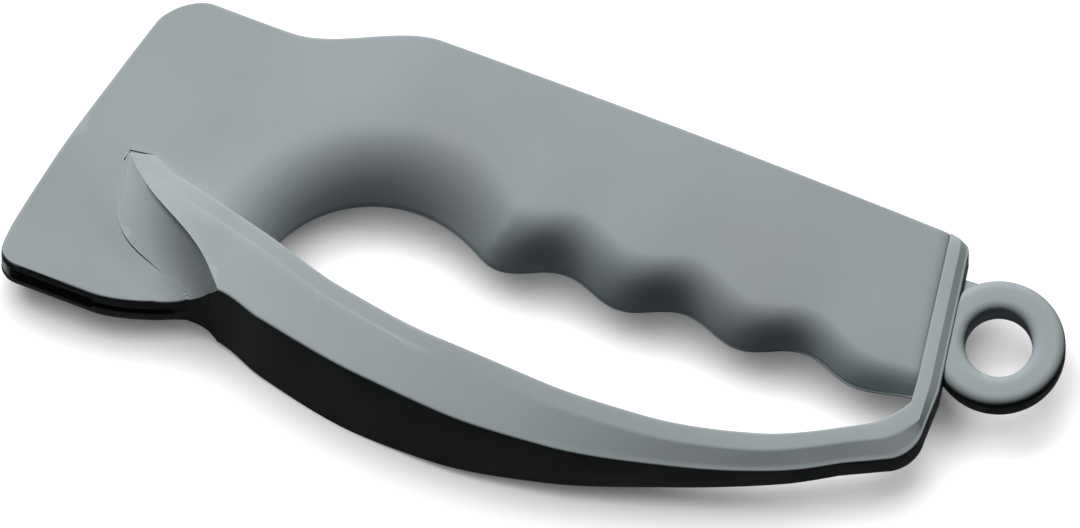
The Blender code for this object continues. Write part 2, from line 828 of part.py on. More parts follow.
def eye_profile():
    """Section of the lanyard eye: a rounded rectangle."""
    middle = (EYE_R + EYE_HOLE_R) / 2.0
    across = (EYE_R - EYE_HOLE_R) / 2.0 - EYE_ROUND
    up = EYE_HALF - EYE_ROUND
    points = []
    for corner, (side, rise) in enumerate(((1.0, -1.0), (-1.0, -1.0), (-1.0, 1.0), (1.0, 1.0))):
        for step in range(4):
            angle = -math.pi / 2.0 * (corner + step / 3.0)
            x = middle + side * across + EYE_ROUND * math.cos(angle)
            points.append((x, 0.0, rise * up + EYE_ROUND * math.sin(angle)))
    return points


def eye_ring(collection):
    """Round lanyard eye, turned from its section."""
    bm = bmesh.new()
    ring = [bm.verts.new(point) for point in eye_profile()]
    edges = [bm.edges.new(pair) for pair in zip(ring, ring[1:] + ring[:1])]
    bmesh.ops.spin(bm, geom=ring + edges, cent=(0.0, 0.0, 0.0), axis=(0.0, 0.0, 1.0),
                   angle=2.0 * math.pi, steps=EYE_SEGMENTS, use_merge=True)
    bm.transform(Matrix.Translation((EYE_X, EYE_Y, 0.0)))
    return finish_mesh("eye_ring", bm, collection)


def eye_web(collection):
    """Web that carries the eye on the tail plate, cut open by the eye's hole."""
    reach = EYE_X - EYE_HOLE_R * WEB_REACH_SHARE
    low_x = plate_inner_x(EYE_WEB_BOTTOM_Y) + PLATE_TOP_THICK / 2.0
    high_x = plate_inner_x(EYE_WEB_TOP_Y) + PLATE_TOP_THICK / 2.0
    outline = ((low_x, EYE_WEB_BOTTOM_Y), (reach, EYE_Y - EYE_HOLE_R * WEB_LOW_SHARE),
               (reach, EYE_Y + EYE_HOLE_R * WEB_HIGH_SHARE), (high_x, EYE_WEB_TOP_Y))
    web = prism("eye_web", outline, -EYE_WEB_HALF, EYE_WEB_HALF, collection)
    middle_r = (EYE_R + EYE_HOLE_R) / 2.0
    cut(web, [rod("eye_hole", (EYE_X, EYE_Y), -GRIP_HALF, GRIP_HALF, middle_r, collection)])
    return web


def prism(name, outline, low, high, collection):
    """Upright solid of a flat outline between two heights."""
    rings = [[(x, y, z) for x, y in outline] for z in (low, high)]
    return loft(name, rings, collection)


def tenon_form(name, grow, reach, collection):
    """Tenon in the grip's open end, from its inner end to a reach past the plate's face."""
    low, high = TENON_Y - TENON_HEIGHT / 2.0 - grow, TENON_Y + TENON_HEIGHT / 2.0 + grow
    start = plate_inner_x(TENON_Y) - TENON_LENGTH - grow
    outline = ((start, low), (plate_inner_x(low) + reach, low),
               (plate_inner_x(high) + reach, high), (start, high))
    return prism(name, outline, -TENON_HALF - grow, TENON_HALF + grow, collection)


def scoop_cutter(side, collection):
    """Solid that clears the scoop's volume on one side of shell and guard."""
    count = 18
    rings = []
    for i in range(count + 1):
        along = (WING_LENGTH + SCOOP_START) * i / count - SCOOP_START
        rings.append(scoop_ring(side, along, wing_top(along)))
    return loft("scoop_cutter", rings, collection)


def scoop_ring(side, along, top):
    """Section of the scoop cutter across the wing's edge."""
    run = wall_run(along, top)
    rest = scoop_sweep(along) * SWEEP_REACH_SHARE - run
    offs = [run * share for share in WALL_STEP_SHARES]
    offs += [run + rest * share for share in SWEEP_STEP_SHARES]
    lead = (*wing_spot(along, -FIT), side * (top + FIT * wall_steepness(along)))
    ring = [(*wing_spot(along, off), side * scoop_surface(along, off, top)) for off in offs]
    roof = side * (GUARD_HALF + OVERRUN)
    return [lead] + ring + [(*ring[-1][:2], roof), (*lead[:2], roof)]


def rebate_form(side, grow, collection):
    """Shallow seat of a wing's tip in the cheek, grown by a clearance."""
    knots = outline_knots(INNER_SHARES)
    start = WING_LENGTH * REBATE_START_SHARE
    alongs = spread(start, WING_LENGTH, 8) + [WING_LENGTH]
    outline = [wing_spot(along, seam_off(along, HEAD_HALF) + grow) for along in alongs]
    outline.append(wing_spot(WING_LENGTH, 0.0) + ALONG_WING * grow)
    end_x = outline[0].x
    for x in spread(WING_INNER_X, end_x, 8) + [end_x]:
        outline.append((x, through(knots, x) + grow))
    bottom = side * (HEAD_HALF - REBATE_DEPTH + FIT - grow)
    return prism("rebate", outline, bottom, side * (GUARD_HALF + OVERRUN), collection)


def make_guard(parts, cutters):
    """Guard with its wings, tail plate, lanyard eye and tenon, as one moulding."""
    rings = wing_sections() + bow_sections() + corner_sections() + plate_sections()
    guard = loft("guard", rings, parts)
    tenon = tenon_form("tenon", 0.0, PLATE_TOP_THICK / 2.0, cutters)
    join(guard, [eye_ring(cutters), eye_web(cutters), tenon])
    cut(guard, [scoop_cutter(side, cutters) for side in (NEAR, FAR)])
    cut(guard, [yoke_form(cutters)])
    holes = [rod("pin_hole", (PIN_X, PIN_Y), -GUARD_HALF - OVERRUN, PIN_NEAR_Z + FIT,
                 PIN_R + FIT, cutters)]
    holes += [rod("tenon_hole", tail_screw_spot(), -GRIP_HALF, GRIP_HALF, SCREW_R + FIT, cutters)]
    cut(guard, holes)
    return guard


def tail_screw_spot():
    return SCREW_SPOTS[-1][1:]


def yoke_form(collection):
    """Room for the head's tongue between the wings, clear of the tenon."""
    form = grown_body("yoke", FIT, collection)
    room = box("tenon_side", (TAPER_START_X, BELLY_Y, -GUARD_HALF),
               (END_X + OVERRUN, BACK_Y + OVERRUN, GUARD_HALF), collection)
    cut(form, [room] + [rebate_form(side, 0.0, collection) for side in (NEAR, FAR)])
    return form


# Shells

def kept_inside(collection):
    """Ribs, bosses and solid blocks that the hollows leave standing."""
    reach = GRIP_HALF + OVERRUN
    front = FRONT_X + FRONT_SLOPE_SHARE * BELLY_Y - OVERRUN
    belly = BELLY_Y - OVERRUN
    kept = [box("belly_block", (front, belly, -reach),
                (RECESS_X - RECESS_R, BELLY_Y + SLOT_DEPTH + WALL, reach), collection)]
    kept += [box("carrier_block", (front, belly, -reach),
                 (CARRIER_X + CARRIER_LENGTH + FIT + WALL,
                  CARRIER_Y + CARRIER_HEIGHT + FIT + WALL, reach), collection)]
    kept += [box("tenon_block", (plate_inner_x(TENON_Y) - TENON_LENGTH - FIT - WALL,
                                 TENON_Y - TENON_HEIGHT / 2.0 - FIT - WALL, -reach),
                 (END_X + OVERRUN, TENON_Y + TENON_HEIGHT / 2.0 + FIT + WALL, reach), collection)]
    kept += [box("rib", (x - RIB_THICK / 2.0, -RECESS_R, -reach),
                 (x + RIB_THICK / 2.0, BACK_Y + OVERRUN, reach), collection) for x in RIB_XS]
    kept += [rod("boss", (x, y), -reach, reach, BOSS_R, collection) for _, x, y in SCREW_SPOTS]
    return kept + [rod("pin_boss", (PIN_X, PIN_Y), -reach, reach, PIN_R + FIT + WALL, collection)]


def hollow(side, collection):
    form = cavity_form(side, collection)
    cut(form, kept_inside(collection))
    return form


def slot_forms(collection):
    """Knife slot and the wider mouth that leads a blade into it."""
    front = FRONT_X + FRONT_SLOPE_SHARE * BELLY_Y - OVERRUN
    below = BELLY_Y - OVERRUN
    ceiling = BELLY_Y + SLOT_DEPTH
    outline = ((front, below), (SLOT_EXIT_X, below), (SLOT_EXIT_X, belly_y(SLOT_EXIT_X)),
               (SLOT_FULL_X, ceiling), (front, ceiling))
    slot = prism("slot", outline, -SLOT_HALF, SLOT_HALF, collection)
    slope = (SLOT_MOUTH_HALF - SLOT_HALF) / SLOT_MOUTH_DEPTH
    wide = SLOT_MOUTH_HALF + OVERRUN * slope
    narrow = SLOT_HALF / 2.0
    top = below + (wide - narrow) / slope
    section = ((below, -wide), (below, wide), (top, narrow), (top, -narrow))
    rings = [[(x, y, z) for y, z in section] for x in (front, BELLY_RISE_START_X)]
    return [slot, loft("slot_mouth", rings, collection)]


def carrier_pocket(collection):
    """Room for the carrier, with the keeper and its screws on the near side."""
    low = (CARRIER_X - FIT, CARRIER_Y - FIT, -CARRIER_HALF - FIT)
    high = (CARRIER_X + CARRIER_LENGTH + FIT, CARRIER_Y + CARRIER_HEIGHT + FIT,
            keeper_head_z() + KEEPER_SCREW_HEAD + SMALL_FIT)
    return box("carrier_pocket", low, high, collection)


def shell_holes(side, collection):
    """Screw holes through the far shell, with counterbores, and blind in the near shell."""
    seat = -SCREW_SEAT
    tip = seat + SCREW_LENGTH
    holes = []
    for _, x, y in SCREW_SPOTS:
        if side == NEAR:
            holes.append(rod("blind_hole", (x, y), -OVERRUN, tip, SCREW_R + FIT, collection))
        else:
            holes.append(rod("screw_hole", (x, y), seat - OVERRUN, OVERRUN, SCREW_R + FIT, collection))
            holes.append(rod("counterbore", (x, y), -GRIP_HALF - OVERRUN, seat,
                             SCREW_HEAD_R + FIT, collection))
    return holes


def make_shell(name, side, parts, cutters):
    """One moulded half of head and grip."""
    shell = body_half(name, side, PARTING / 2.0, parts)
    cut(shell, [hollow(side, cutters), scoop_cutter(side, cutters), carrier_pocket(cutters)])
    cut(shell, [rebate_form(side, FIT, cutters)])
    cut(shell, slot_forms(cutters))
    cut(shell, [tenon_form("tenon_pocket", FIT, OVERRUN, cutters)])
    cut(shell, [rod("pin_hole", (PIN_X, PIN_Y), -GRIP_HALF, GRIP_HALF, PIN_R + FIT, cutters)])
    cut(shell, shell_holes(side, cutters))
    return shell


# Cutter set

def cutter_corners(side, grow):
    """Corners of a cutter across the slot, as (y, z): its inner edge passes the apex."""
    along = Vector((math.cos(CUTTER_TILT), side * math.sin(CUTTER_TILT)))
    across = Vector((math.sin(CUTTER_TILT), -side * math.cos(CUTTER_TILT)))
    apex = Vector((BELLY_Y + APEX_DEPTH, 0.0))
    low, high = -CUTTER_BELOW - grow, CUTTER_ABOVE + grow
    spots = ((low, -grow), (low, CUTTER_WIDTH + grow), (high, CUTTER_WIDTH + grow), (high, -grow))
    return [apex + along * a + across * b for a, b in spots]


def cutter_x(index):
    """Front face of a cutter; the pair is centred in the carrier."""
    pair = 2.0 * CUTTER_THICK + CUTTER_GAP
    start = CARRIER_X + (CARRIER_LENGTH - pair) / 2.0
    return start + index * (CUTTER_THICK + CUTTER_GAP)


def cross_prism(name, section, start, end, collection):
    """Solid of a section across the slot between two places along it."""
    rings = [[(x, y, z) for y, z in section] for x in (start, end)]
    return loft(name, rings, collection)


def make_cutter(name, index, side, parts):
    start = cutter_x(index)
    return cross_prism(name, cutter_corners(side, 0.0), start, start + CUTTER_THICK, parts)


def cutter_seat(index, side, collection):
    """Seat of a cutter in the carrier, open on the near side to drop the cutter in."""
    corners = cutter_corners(side, SMALL_FIT)
    left = min(corners, key=lambda corner: corner.x)
    right = max(corners, key=lambda corner: corner.x)
    lowest = min(corners, key=lambda corner: corner.y)
    top = CARRIER_HALF + OVERRUN
    section = [left, lowest, right, (right.x, top), (left.x, top)]
    start = cutter_x(index) - SMALL_FIT
    return cross_prism("cutter_seat", section, start, start + CUTTER_THICK + 2.0 * SMALL_FIT, collection)


def keeper_screw_spots():
    y = CARRIER_Y + CARRIER_HEIGHT - KEEPER_SCREW_INSET
    return ((CARRIER_X + KEEPER_SCREW_INSET, y),
            (CARRIER_X + CARRIER_LENGTH - KEEPER_SCREW_INSET, y))


def keeper_z():
    return CARRIER_HALF + SMALL_FIT


def keeper_head_z():
    return keeper_z() + KEEPER_THICK + SMALL_FIT


def make_carrier(parts, cutters):
    """Block that holds both cutters across the knife slot."""
    low = (CARRIER_X, CARRIER_Y, -CARRIER_HALF)
    high = (CARRIER_X + CARRIER_LENGTH, CARRIER_Y + CARRIER_HEIGHT, CARRIER_HALF)
    carrier = box("cutter_carrier", low, high, parts)
    cut(carrier, slot_forms(cutters)[:1])
    cut(carrier, [cutter_seat(0, NEAR, cutters), cutter_seat(1, FAR, cutters)])
    bottom = keeper_head_z() - KEEPER_SCREW_LENGTH - SMALL_FIT
    cut(carrier, [rod("keeper_screw_hole", spot, bottom, CARRIER_HALF + OVERRUN,
                      KEEPER_SCREW_R + SMALL_FIT, cutters) for spot in keeper_screw_spots()])
    return carrier


def make_keeper(parts, cutters):
    """Thin steel plate that keeps the cutters in their seats."""
    low = (CARRIER_X + KEEPER_MARGIN, CARRIER_Y + KEEPER_MARGIN, keeper_z())
    high = (CARRIER_X + CARRIER_LENGTH - KEEPER_MARGIN,
            CARRIER_Y + CARRIER_HEIGHT - KEEPER_MARGIN, keeper_z() + KEEPER_THICK)
    keeper = box("cutter_keeper", low, high, parts)
    cut(keeper, [rod("keeper_hole", spot, 0.0, GRIP_HALF, KEEPER_SCREW_R + SMALL_FIT, cutters)
                 for spot in keeper_screw_spots()])
    return keeper


def make_keeper_screw(name, spot, parts, cutters):
    top = keeper_head_z() + KEEPER_SCREW_HEAD
    screw = rod(name, spot, keeper_head_z() - KEEPER_SCREW_LENGTH, top - KEEPER_SCREW_HEAD / 2.0,
                KEEPER_SCREW_R, parts)
    join(screw, [rod("keeper_screw_head", spot, keeper_head_z(), top, KEEPER_SCREW_HEAD_R, cutters)])
    return screw


# Fasteners

def make_screw(name, spot, parts, cutters):
    """Shell screw, driven from the far side, with a cross recess in its head."""
    under = -SCREW_SEAT - FIT
    outer = under - SCREW_HEAD_HEIGHT
    screw = rod(name, spot, under - SCREW_HEAD_HEIGHT / 2.0, under + SCREW_LENGTH, SCREW_R, parts)
    join(screw, [rod("screw_head", spot, outer, under, SCREW_HEAD_R, cutters)])
    reach = SCREW_HEAD_R * SCREW_CROSS_SHARE
    half = SCREW_CROSS_WIDTH / 2.0
    for x, y in ((reach, half), (half, reach)):
        low = (spot[0] - x, spot[1] - y, outer - OVERRUN)
        high = (spot[0] + x, spot[1] + y, outer + SCREW_CROSS_DEPTH)
        cut(screw, [box("cross_recess", low, high, cutters)])
    return screw


def make_fasteners(parts, cutters):
    for name, x, y in SCREW_SPOTS:
        make_screw(name, (x, y), parts, cutters)
    rod("guard_pin", (PIN_X, PIN_Y), PIN_FAR_Z, PIN_NEAR_Z, PIN_R, parts)


# Assembly

def plastic(name, colour):
    return material(name, colour, 0.55, 0.0)


def metal(name, colour):
    return material(name, colour, 0.35, 1.0)


def material(name, colour, roughness, metallic):
    made = bpy.data.materials.new(name)
    made.use_nodes = True
    shader = made.node_tree.nodes["Principled BSDF"]
    shader.inputs["Base Color"].default_value = colour
    shader.inputs["Roughness"].default_value = roughness
    shader.inputs["Metallic"].default_value = metallic
    return made


def finish(parts):
    """Tidy each piece and give it a material of its own."""
    for thing in parts.objects:
        tidy(thing)
        if thing.name in ("near_shell", "far_shell", "guard"):
            paint(thing, plastic(thing.name + "_plastic", GREY_PLASTIC))
        elif thing.name == "cutter_carrier":
            paint(thing, plastic(thing.name + "_plastic", BLACK_PLASTIC))
        elif thing.name.endswith("_cutter"):
            paint(thing, metal(thing.name + "_hard_metal", HARD_METAL))
        else:
            paint(thing, metal(thing.name + "_steel", STEEL))


def stand(parts):
    """Parent all pieces to an empty that puts the origin under the middle of the object."""
    corners = [vert.co for thing in parts.objects for vert in thing.data.vertices]
    xs, ys, zs = zip(*corners)
    frame = bpy.data.objects.new("sharpener_frame", None)
    frame.location = (-(min(xs) + max(xs)) / 2.0, -(min(ys) + max(ys)) / 2.0, -min(zs))
    bpy.context.scene.collection.objects.link(frame)
    for thing in parts.objects:
        thing.parent = frame


def main():
    for thing in list(bpy.data.objects):
        bpy.data.objects.remove(thing, do_unlink=True)
    parts = bpy.data.collections.new(OBJECT_NAME)
    cutters = bpy.data.collections.new("cutters")
    for collection in (parts, cutters):
        bpy.context.scene.collection.children.link(collection)
    make_shell("near_shell", NEAR, parts, cutters)
    make_shell("far_shell", FAR, parts, cutters)
    make_guard(parts, cutters)
    make_carrier(parts, cutters)
    make_cutter("front_cutter", 0, NEAR, parts)
    make_cutter("rear_cutter", 1, FAR, parts)
    make_keeper(parts, cutters)
    for name, spot in zip(("front_keeper_screw", "rear_keeper_screw"), keeper_screw_spots()):
        make_keeper_screw(name, spot, parts, cutters)
    make_fasteners(parts, cutters)
    finish(parts)
    stand(parts)
    for thing in cutters.objects:
        thing.hide_render = True
        thing.display_type = "WIRE"


main()
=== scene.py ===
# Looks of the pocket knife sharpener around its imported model.
# The two shells and the guard are made again from the same kind of named sizes as the model,
# but fine enough to look moulded. The lanyard eye's ring comes from Geometry Nodes.
# The carrier, the cutters and all fasteners are the model's own, with new materials.
# Shapes are worked out in the handle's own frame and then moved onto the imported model.

import math

import bmesh
import bpy
from mathutils import Matrix, Vector


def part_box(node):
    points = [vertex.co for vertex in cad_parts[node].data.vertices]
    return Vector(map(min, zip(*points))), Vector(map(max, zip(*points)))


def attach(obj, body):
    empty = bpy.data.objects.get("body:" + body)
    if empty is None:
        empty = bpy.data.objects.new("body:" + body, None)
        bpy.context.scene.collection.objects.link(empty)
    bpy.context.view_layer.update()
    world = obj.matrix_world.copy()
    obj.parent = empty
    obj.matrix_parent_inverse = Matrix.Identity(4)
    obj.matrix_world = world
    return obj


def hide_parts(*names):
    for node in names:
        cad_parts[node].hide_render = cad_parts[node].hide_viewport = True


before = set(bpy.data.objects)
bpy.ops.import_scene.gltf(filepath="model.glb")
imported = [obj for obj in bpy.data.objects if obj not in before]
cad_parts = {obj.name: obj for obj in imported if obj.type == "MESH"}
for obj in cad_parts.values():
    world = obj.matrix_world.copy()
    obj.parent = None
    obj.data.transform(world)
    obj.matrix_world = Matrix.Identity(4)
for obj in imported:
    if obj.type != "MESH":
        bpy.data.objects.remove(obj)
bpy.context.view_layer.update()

# Clearances
FIT = 0.0003
PARTING = 0.0003
SEAM = 0.00003
FLAT_ANGLE = 0.0001
OVERRUN = 0.002
HAIR = FIT / 100.0
RIM_LEAST = FIT / 3.0

# Head
HEAD_HALF = 0.0049
FRONT_X = -0.0631
FRONT_SLOPE_SHARE = 0.238
FRONT_BOW = ((-0.0275, 0.0014), (-0.0251, 0.0004), (-0.0217, -0.0002), (-0.0149, -0.0006),
             (-0.0081, -0.0008), (0.0054, -0.0006), (0.0122, -0.0004), (0.0170, -0.0002))
HEAD_TOP_Y = 0.0170
TOP_CORNER_R = 0.0058
BELLY_Y = -0.0275
BELLY_CORNER_R = 0.0020
BELLY_RISE = 0.0075
BELLY_RISE_START_X = -0.0547
BELLY_RISE_POWER = 1.6
NOSE_X = -0.0422
CHEEK_FALL = 0.0008
CHEEK_FALL_START_Y = -0.0060
CHEEK_FALL_END_Y = -0.0230
CHEEK_FALL_OFF = 0.0025
CHEEK_FALL_FULL_OFF = 0.0090
EDGE_R = 0.00035
SCOOP_RIM_SHARE = 0.6

# Grip
GRIP_HALF = 0.0076
TAIL_HALF = 0.0034
SWELL_START_X = -0.0470
SWELL_FULL_X = -0.0220
TAPER_START_X = -0.0150
END_X = 0.0546
TAIL_SLOPE_SHARE = -0.162
BACK_Y = 0.0229
BACK_SLOPE_SHARE = 0.009
SADDLE_START_X = -0.0430
SADDLE_END_X = -0.0230
CROWN_DROP = 0.0010
CROWN_WIDTH = 0.0170
LAND_SHARE = 0.04
ROUND_POWER = 1.0
TAIL_DIP = 0.0006
TAIL_DIP_RUN = 0.0016

# Finger side: a round recess and three shallow waves
RECESS_X = -0.0177
RECESS_Y = -0.0174
RECESS_R = 0.0180
WAVE_CREST_X = -0.0049
WAVE_PITCH = 0.01716
WAVE_HEIGHT = 0.00117
WAVE_Y = -0.00155
WAVE_SLOPE_SHARE = 0.04
WAVE_COUNT = 3
LAST_WAVE_SHARE = 0.5
WAVE_BLEND = 0.0008
ROUND_SHARE = 1.0
RECESS_ROUND_SHARE = 0.30
RECESS_ROUND_START_X = -0.0140
TONGUE_STEP = 0.0020
TONGUE_STEP_RUN = 0.0006

# Scoop in each cheek in front of the wing
WING_ROOT = Vector((-0.0375, -0.0236))
WING_TIP = Vector((-0.0573, -0.0066))
WING_BEND = 0.0007
SCOOP_FLOOR = 0.0012
SCOOP_START = 0.0037
SCOOP_SWEEP = 0.0150
SCOOP_TIP_SWEEP = 0.0090
SCOOP_RISE_POWER = 1.7
WALL_POWER = 3.0
WALL_STEEP = 4.4
WALL_FADE_POWER = 2.0
WALL_TIP_STEEP = 0.8
SCOOP_FADE_POWER = 1.6
REBATE_DEPTH = 0.0002

# Guard
GUARD_HALF = 0.0134
GUARD_WIDEST_X = -0.0190
GUARD_TAIL_HALF = 0.0028
GUARD_TAIL_X = 0.0500
BAND_WIDTH = 0.0023
BAND_STEP = 0.0005
BAND_STEP_START_X = -0.0500
BAND_STEP_END_X = -0.0050
FLANK_DROP = 0.0012
FLANK_START_X = -0.0100
FLANK_FULL_X = 0.0200
GUARD_EDGE_R = 0.0005
WING_CUT = 0.0001
WING_INNER_X = -0.0540
WING_INNER_END_X = -0.0420
WING_RISE_POWER = 2.2
GUARD_FALL_POWER = 0.85
GUARD_START_X = -0.0573
GUARD_END_X = 0.0549
BOW_DROP = 0.0283
BOW_START_SHARE = 0.150
BOW_END_SHARE = 0.950
BOW_OUTER_END_SHARE = 0.945
INNER_SHARES = ((0.028, 0.212), (0.060, 0.275), (0.097, 0.330), (0.205, 0.463),
                (0.308, 0.587), (0.440, 0.650), (0.573, 0.650), (0.700, 0.604),
                (0.840, 0.459), (0.950, 0.235), (1.0, 0.110))
OUTER_SHARES = ((0.134, 0.800), (0.176, 0.815), (0.234, 0.888), (0.377, 0.986),
                (0.475, 1.0), (0.604, 0.943), (0.757, 0.777), (0.882, 0.587),
                (0.945, 0.445), (0.985, 0.335))
EDGE_MOST_SHARE = 0.12
BAND_MOST_SHARE = 0.55
STEP_MOST_SHARE = 0.15
CREASE_SOFT_SHARE = 0.4
CREASE_FALL_SHARE = 0.3
FLANK_SHARES = (0.08, 0.2, 0.35, 0.5, 0.65, 0.8)
WING_EDGE_FADE_SHARE = 0.3
WING_EDGE_LEAST_SHARE = 0.08

# Tail plate and lanyard eye
PLATE_HALF = 0.0039
PLATE_TOP_THICK = 0.0031
PLATE_ROOT_THICK = 0.0034
PLATE_TOP_Y = 0.0236
PLATE_BAND_SHARE = 0.72
PLATE_DROP = 0.0008
PLATE_CORNER_R = 0.0016
CORNER_X = 0.0520
CORNER_Y = -0.0046
CORNER_R = 0.0057
CORNER_START_DEGREES = -62.0
CORNER_TURN_DEGREES = 68.0
CORNER_INNER_POWER = 0.7
CORNER_LIFT_SHARE = 0.4
PLATE_SHARES = (0.10, 0.22, 0.35, 0.48, 0.62, 0.75, 0.85)
PLATE_CORNER_SHARES = (1.0, 0.75, 0.5, 0.3, 0.15, 0.06, 0.0)
PLATE_THICK_DROP_SHARE = 0.6
PLATE_DEPTH_DROP_SHARE = 0.5
PLATE_STEP_PARTS = 5.0
EYE_X = 0.0625
EYE_Y = 0.0116
EYE_R = 0.0091
EYE_HOLE_R = 0.0046
EYE_HALF = 0.0027
EYE_ROUND = 0.0015
EYE_WEB_HALF = 0.0019
EYE_WEB_TOP_Y = 0.0183
EYE_WEB_BOTTOM_Y = 0.0045
EYE_WEB_REACH_SHARE = 0.6
EYE_WEB_LOW_SHARE = 1.5
EYE_WEB_HIGH_SHARE = 1.55

# Fasteners, slot and cutter set
SCREW_SPOTS = ((-0.0535, 0.0090), (-0.0330, 0.0100), (0.0020, 0.0120), (0.0478, 0.0120))
SCREW_R = 0.00125
SCREW_HEAD_R = 0.0025
SCREW_SEAT = 0.0022
SCREW_LENGTH = 0.0053
SLOT_HALF = 0.0010
SLOT_MOUTH_HALF = 0.0020
SLOT_MOUTH_DEPTH = 0.0016
SLOT_DEPTH = 0.0072
SLOT_FULL_X = -0.0560
SLOT_EXIT_X = -0.0438
CARRIER_X = -0.0645
CARRIER_LENGTH = 0.0084
CARRIER_Y = -0.0256
CARRIER_HEIGHT = 0.0118
CARRIER_HALF = 0.0025
KEEPER_STACK = 0.0011
PIN_X = -0.0412
PIN_Y = -0.0154
PIN_R = 0.0012
PIN_NEAR_Z = 0.0088

# Fineness of the visible meshes: stations along, points across and steps of a search
FRONT_EDGE_SHARES = (0.0, 0.03, 0.1, 0.22, 0.4, 0.65, 1.0)
FRONT_CLEAR_SHARE = 1.4
TAIL_EDGE_SHARES = (1.4, 1.0, 0.75, 0.5, 0.3, 0.15, 0.06, 0.015)
TOP_CORNER_STATIONS = 9
HEAD_STATIONS = 30
TONGUE_STEP_STATIONS = 4
TONGUE_STATIONS = 14
RECESS_STATIONS = 28
RECESS_PARTS = 40
RECESS_POWER = 2.2
RECESS_REST_SHARE = 0.45
RECESS_REST_STATIONS = 26
WAVE_STATIONS = 24
TAIL_STATIONS = 10
ACROSS_LOWER = 34
ACROSS_UPPER = 46
LOWER_POWER = 1.6
UPPER_POWER = 1.9
LOWER_LEAST_SHARE = 0.04
LOWER_MORE_SHARE = 0.26
EDGE_POINTS = 5
WING_STATIONS = 60
BOW_STATIONS = 110
CORNER_STATIONS = 16
SCOOP_STATIONS = 90
SCOOP_POINTS = 24
SCOOP_REACH_SHARE = 1.2
SCOOP_LEAD_SHARE = 0.3
SEAT_POINTS = 80
SEAT_INNER_POINTS = 40
ROD_SEGMENTS = 48
EYE_SEGMENTS = 96
EYE_ROUND_POINTS = 9
SEARCH_STEPS = 24
SETTLE_STEPS = 12
CRISP_DEGREES = 32.0

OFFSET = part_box("cutter_carrier")[0] - Vector((CARRIER_X, CARRIER_Y, -CARRIER_HALF))
ALONG_WING = (WING_TIP - WING_ROOT).normalized()
OFF_WING = Vector((-ALONG_WING.y, ALONG_WING.x))
WING_LENGTH = (WING_TIP - WING_ROOT).length


# Curves and blends

def clamp(value, low=0.0, high=1.0):
    return max(low, min(high, value))


def smooth_step(start, end, value):
    share = clamp((value - start) / (end - start))
    return share * share * (3.0 - 2.0 * share)


def smooth_max(first, second, blend):
    reach = clamp(0.5 + 0.5 * (first - second) / blend)
    return second + (first - second) * reach + blend * reach * (1.0 - reach)


def quarter_round(distance, width):
    share = clamp(distance / width)
    return math.sqrt(1.0 - (1.0 - share) ** 2)


def finger_round(distance, width):
    """Rise from 0 at the finger side to 1, steady at first and level at the end."""
    return (1.0 - (1.0 - clamp(distance / width)) ** 2) ** ROUND_POWER


def corner_drop(distance, radius):
    return radius * (1.0 - quarter_round(distance, radius))


def through(knots, x):
    """Smooth curve through (x, y) knots, without overshoot between them."""
    if x <= knots[0][0]:
        return knots[0][1]
    if x >= knots[-1][0]:
        return knots[-1][1]
    slopes = [(b[1] - a[1]) / (b[0] - a[0]) for a, b in zip(knots, knots[1:])]
    bends = [slopes[0]] + [knot_slope(a, b) for a, b in zip(slopes, slopes[1:])] + [slopes[-1]]
    index = max(i for i, knot in enumerate(knots[:-1]) if knot[0] <= x)
    left, right = knots[index], knots[index + 1]
    run = right[0] - left[0]
    t = (x - left[0]) / run
    start = (1.0 + 2.0 * t) * (1.0 - t) ** 2 * left[1] + t * (1.0 - t) ** 2 * run * bends[index]
    end = t * t * (3.0 - 2.0 * t) * right[1] + t * t * (t - 1.0) * run * bends[index + 1]
    return start + end


def knot_slope(before, after):
    if before * after <= 0.0:
        return 0.0
    return 2.0 * before * after / (before + after)


def guard_x(share):
    return GUARD_START_X + share * (GUARD_END_X - GUARD_START_X)


def outline_knots(shares):
    return [(guard_x(along), -drop * BOW_DROP) for along, drop in shares]


INNER_LINE = outline_knots(INNER_SHARES)
OUTER_LINE = outline_knots(OUTER_SHARES)


# Outline and thickness of head and grip

def top_y(x):
    back = BACK_Y + BACK_SLOPE_SHARE * x
    return HEAD_TOP_Y + (back - HEAD_TOP_Y) * smooth_step(SADDLE_START_X, SADDLE_END_X, x)


def belly_y(x):
    end_x = RECESS_X - RECESS_R
    share = clamp((x - BELLY_RISE_START_X) / (end_x - BELLY_RISE_START_X))
    step = TONGUE_STEP * smooth_step(NOSE_X, NOSE_X + TONGUE_STEP_RUN, x)
    return BELLY_Y + BELLY_RISE * share ** BELLY_RISE_POWER + step


def wave_y(x):
    turn = 2.0 * math.pi * (x - WAVE_CREST_X) / WAVE_PITCH
    height = WAVE_HEIGHT
    if x > WAVE_CREST_X + WAVE_COUNT * WAVE_PITCH:
        height = WAVE_HEIGHT * LAST_WAVE_SHARE
    return WAVE_Y + WAVE_SLOPE_SHARE * x + height * (1.0 - math.cos(turn)) - WAVE_HEIGHT


def finger_y(x, grow):
    radius = RECESS_R - grow
    circle = RECESS_Y + math.sqrt(max(radius * radius - (x - RECESS_X) ** 2, 0.0))
    if x < RECESS_X:
        return circle
    return smooth_max(circle, wave_y(x) - grow, WAVE_BLEND)


def low_y(x, grow):
    if x < RECESS_X - RECESS_R + grow:
        return belly_y(x) - grow
    return finger_y(x, grow)


def shift(x, y):
    """Lean of the section at x: along the head's bowed front, upright, then along the tail."""
    front = 1.0 - smooth_step(FRONT_X, SADDLE_START_X, x)
    tail = smooth_step(TAPER_START_X, END_X, x)
    return (FRONT_SLOPE_SHARE * y + through(FRONT_BOW, y)) * front + TAIL_SLOPE_SHARE * y * tail


def settle(x, grow, edge):
    """Y where the slanted section through x meets an outline."""
    y = 0.0
    for _ in range(SETTLE_STEPS):
        y = edge(x + shift(x, y), grow)
    return y


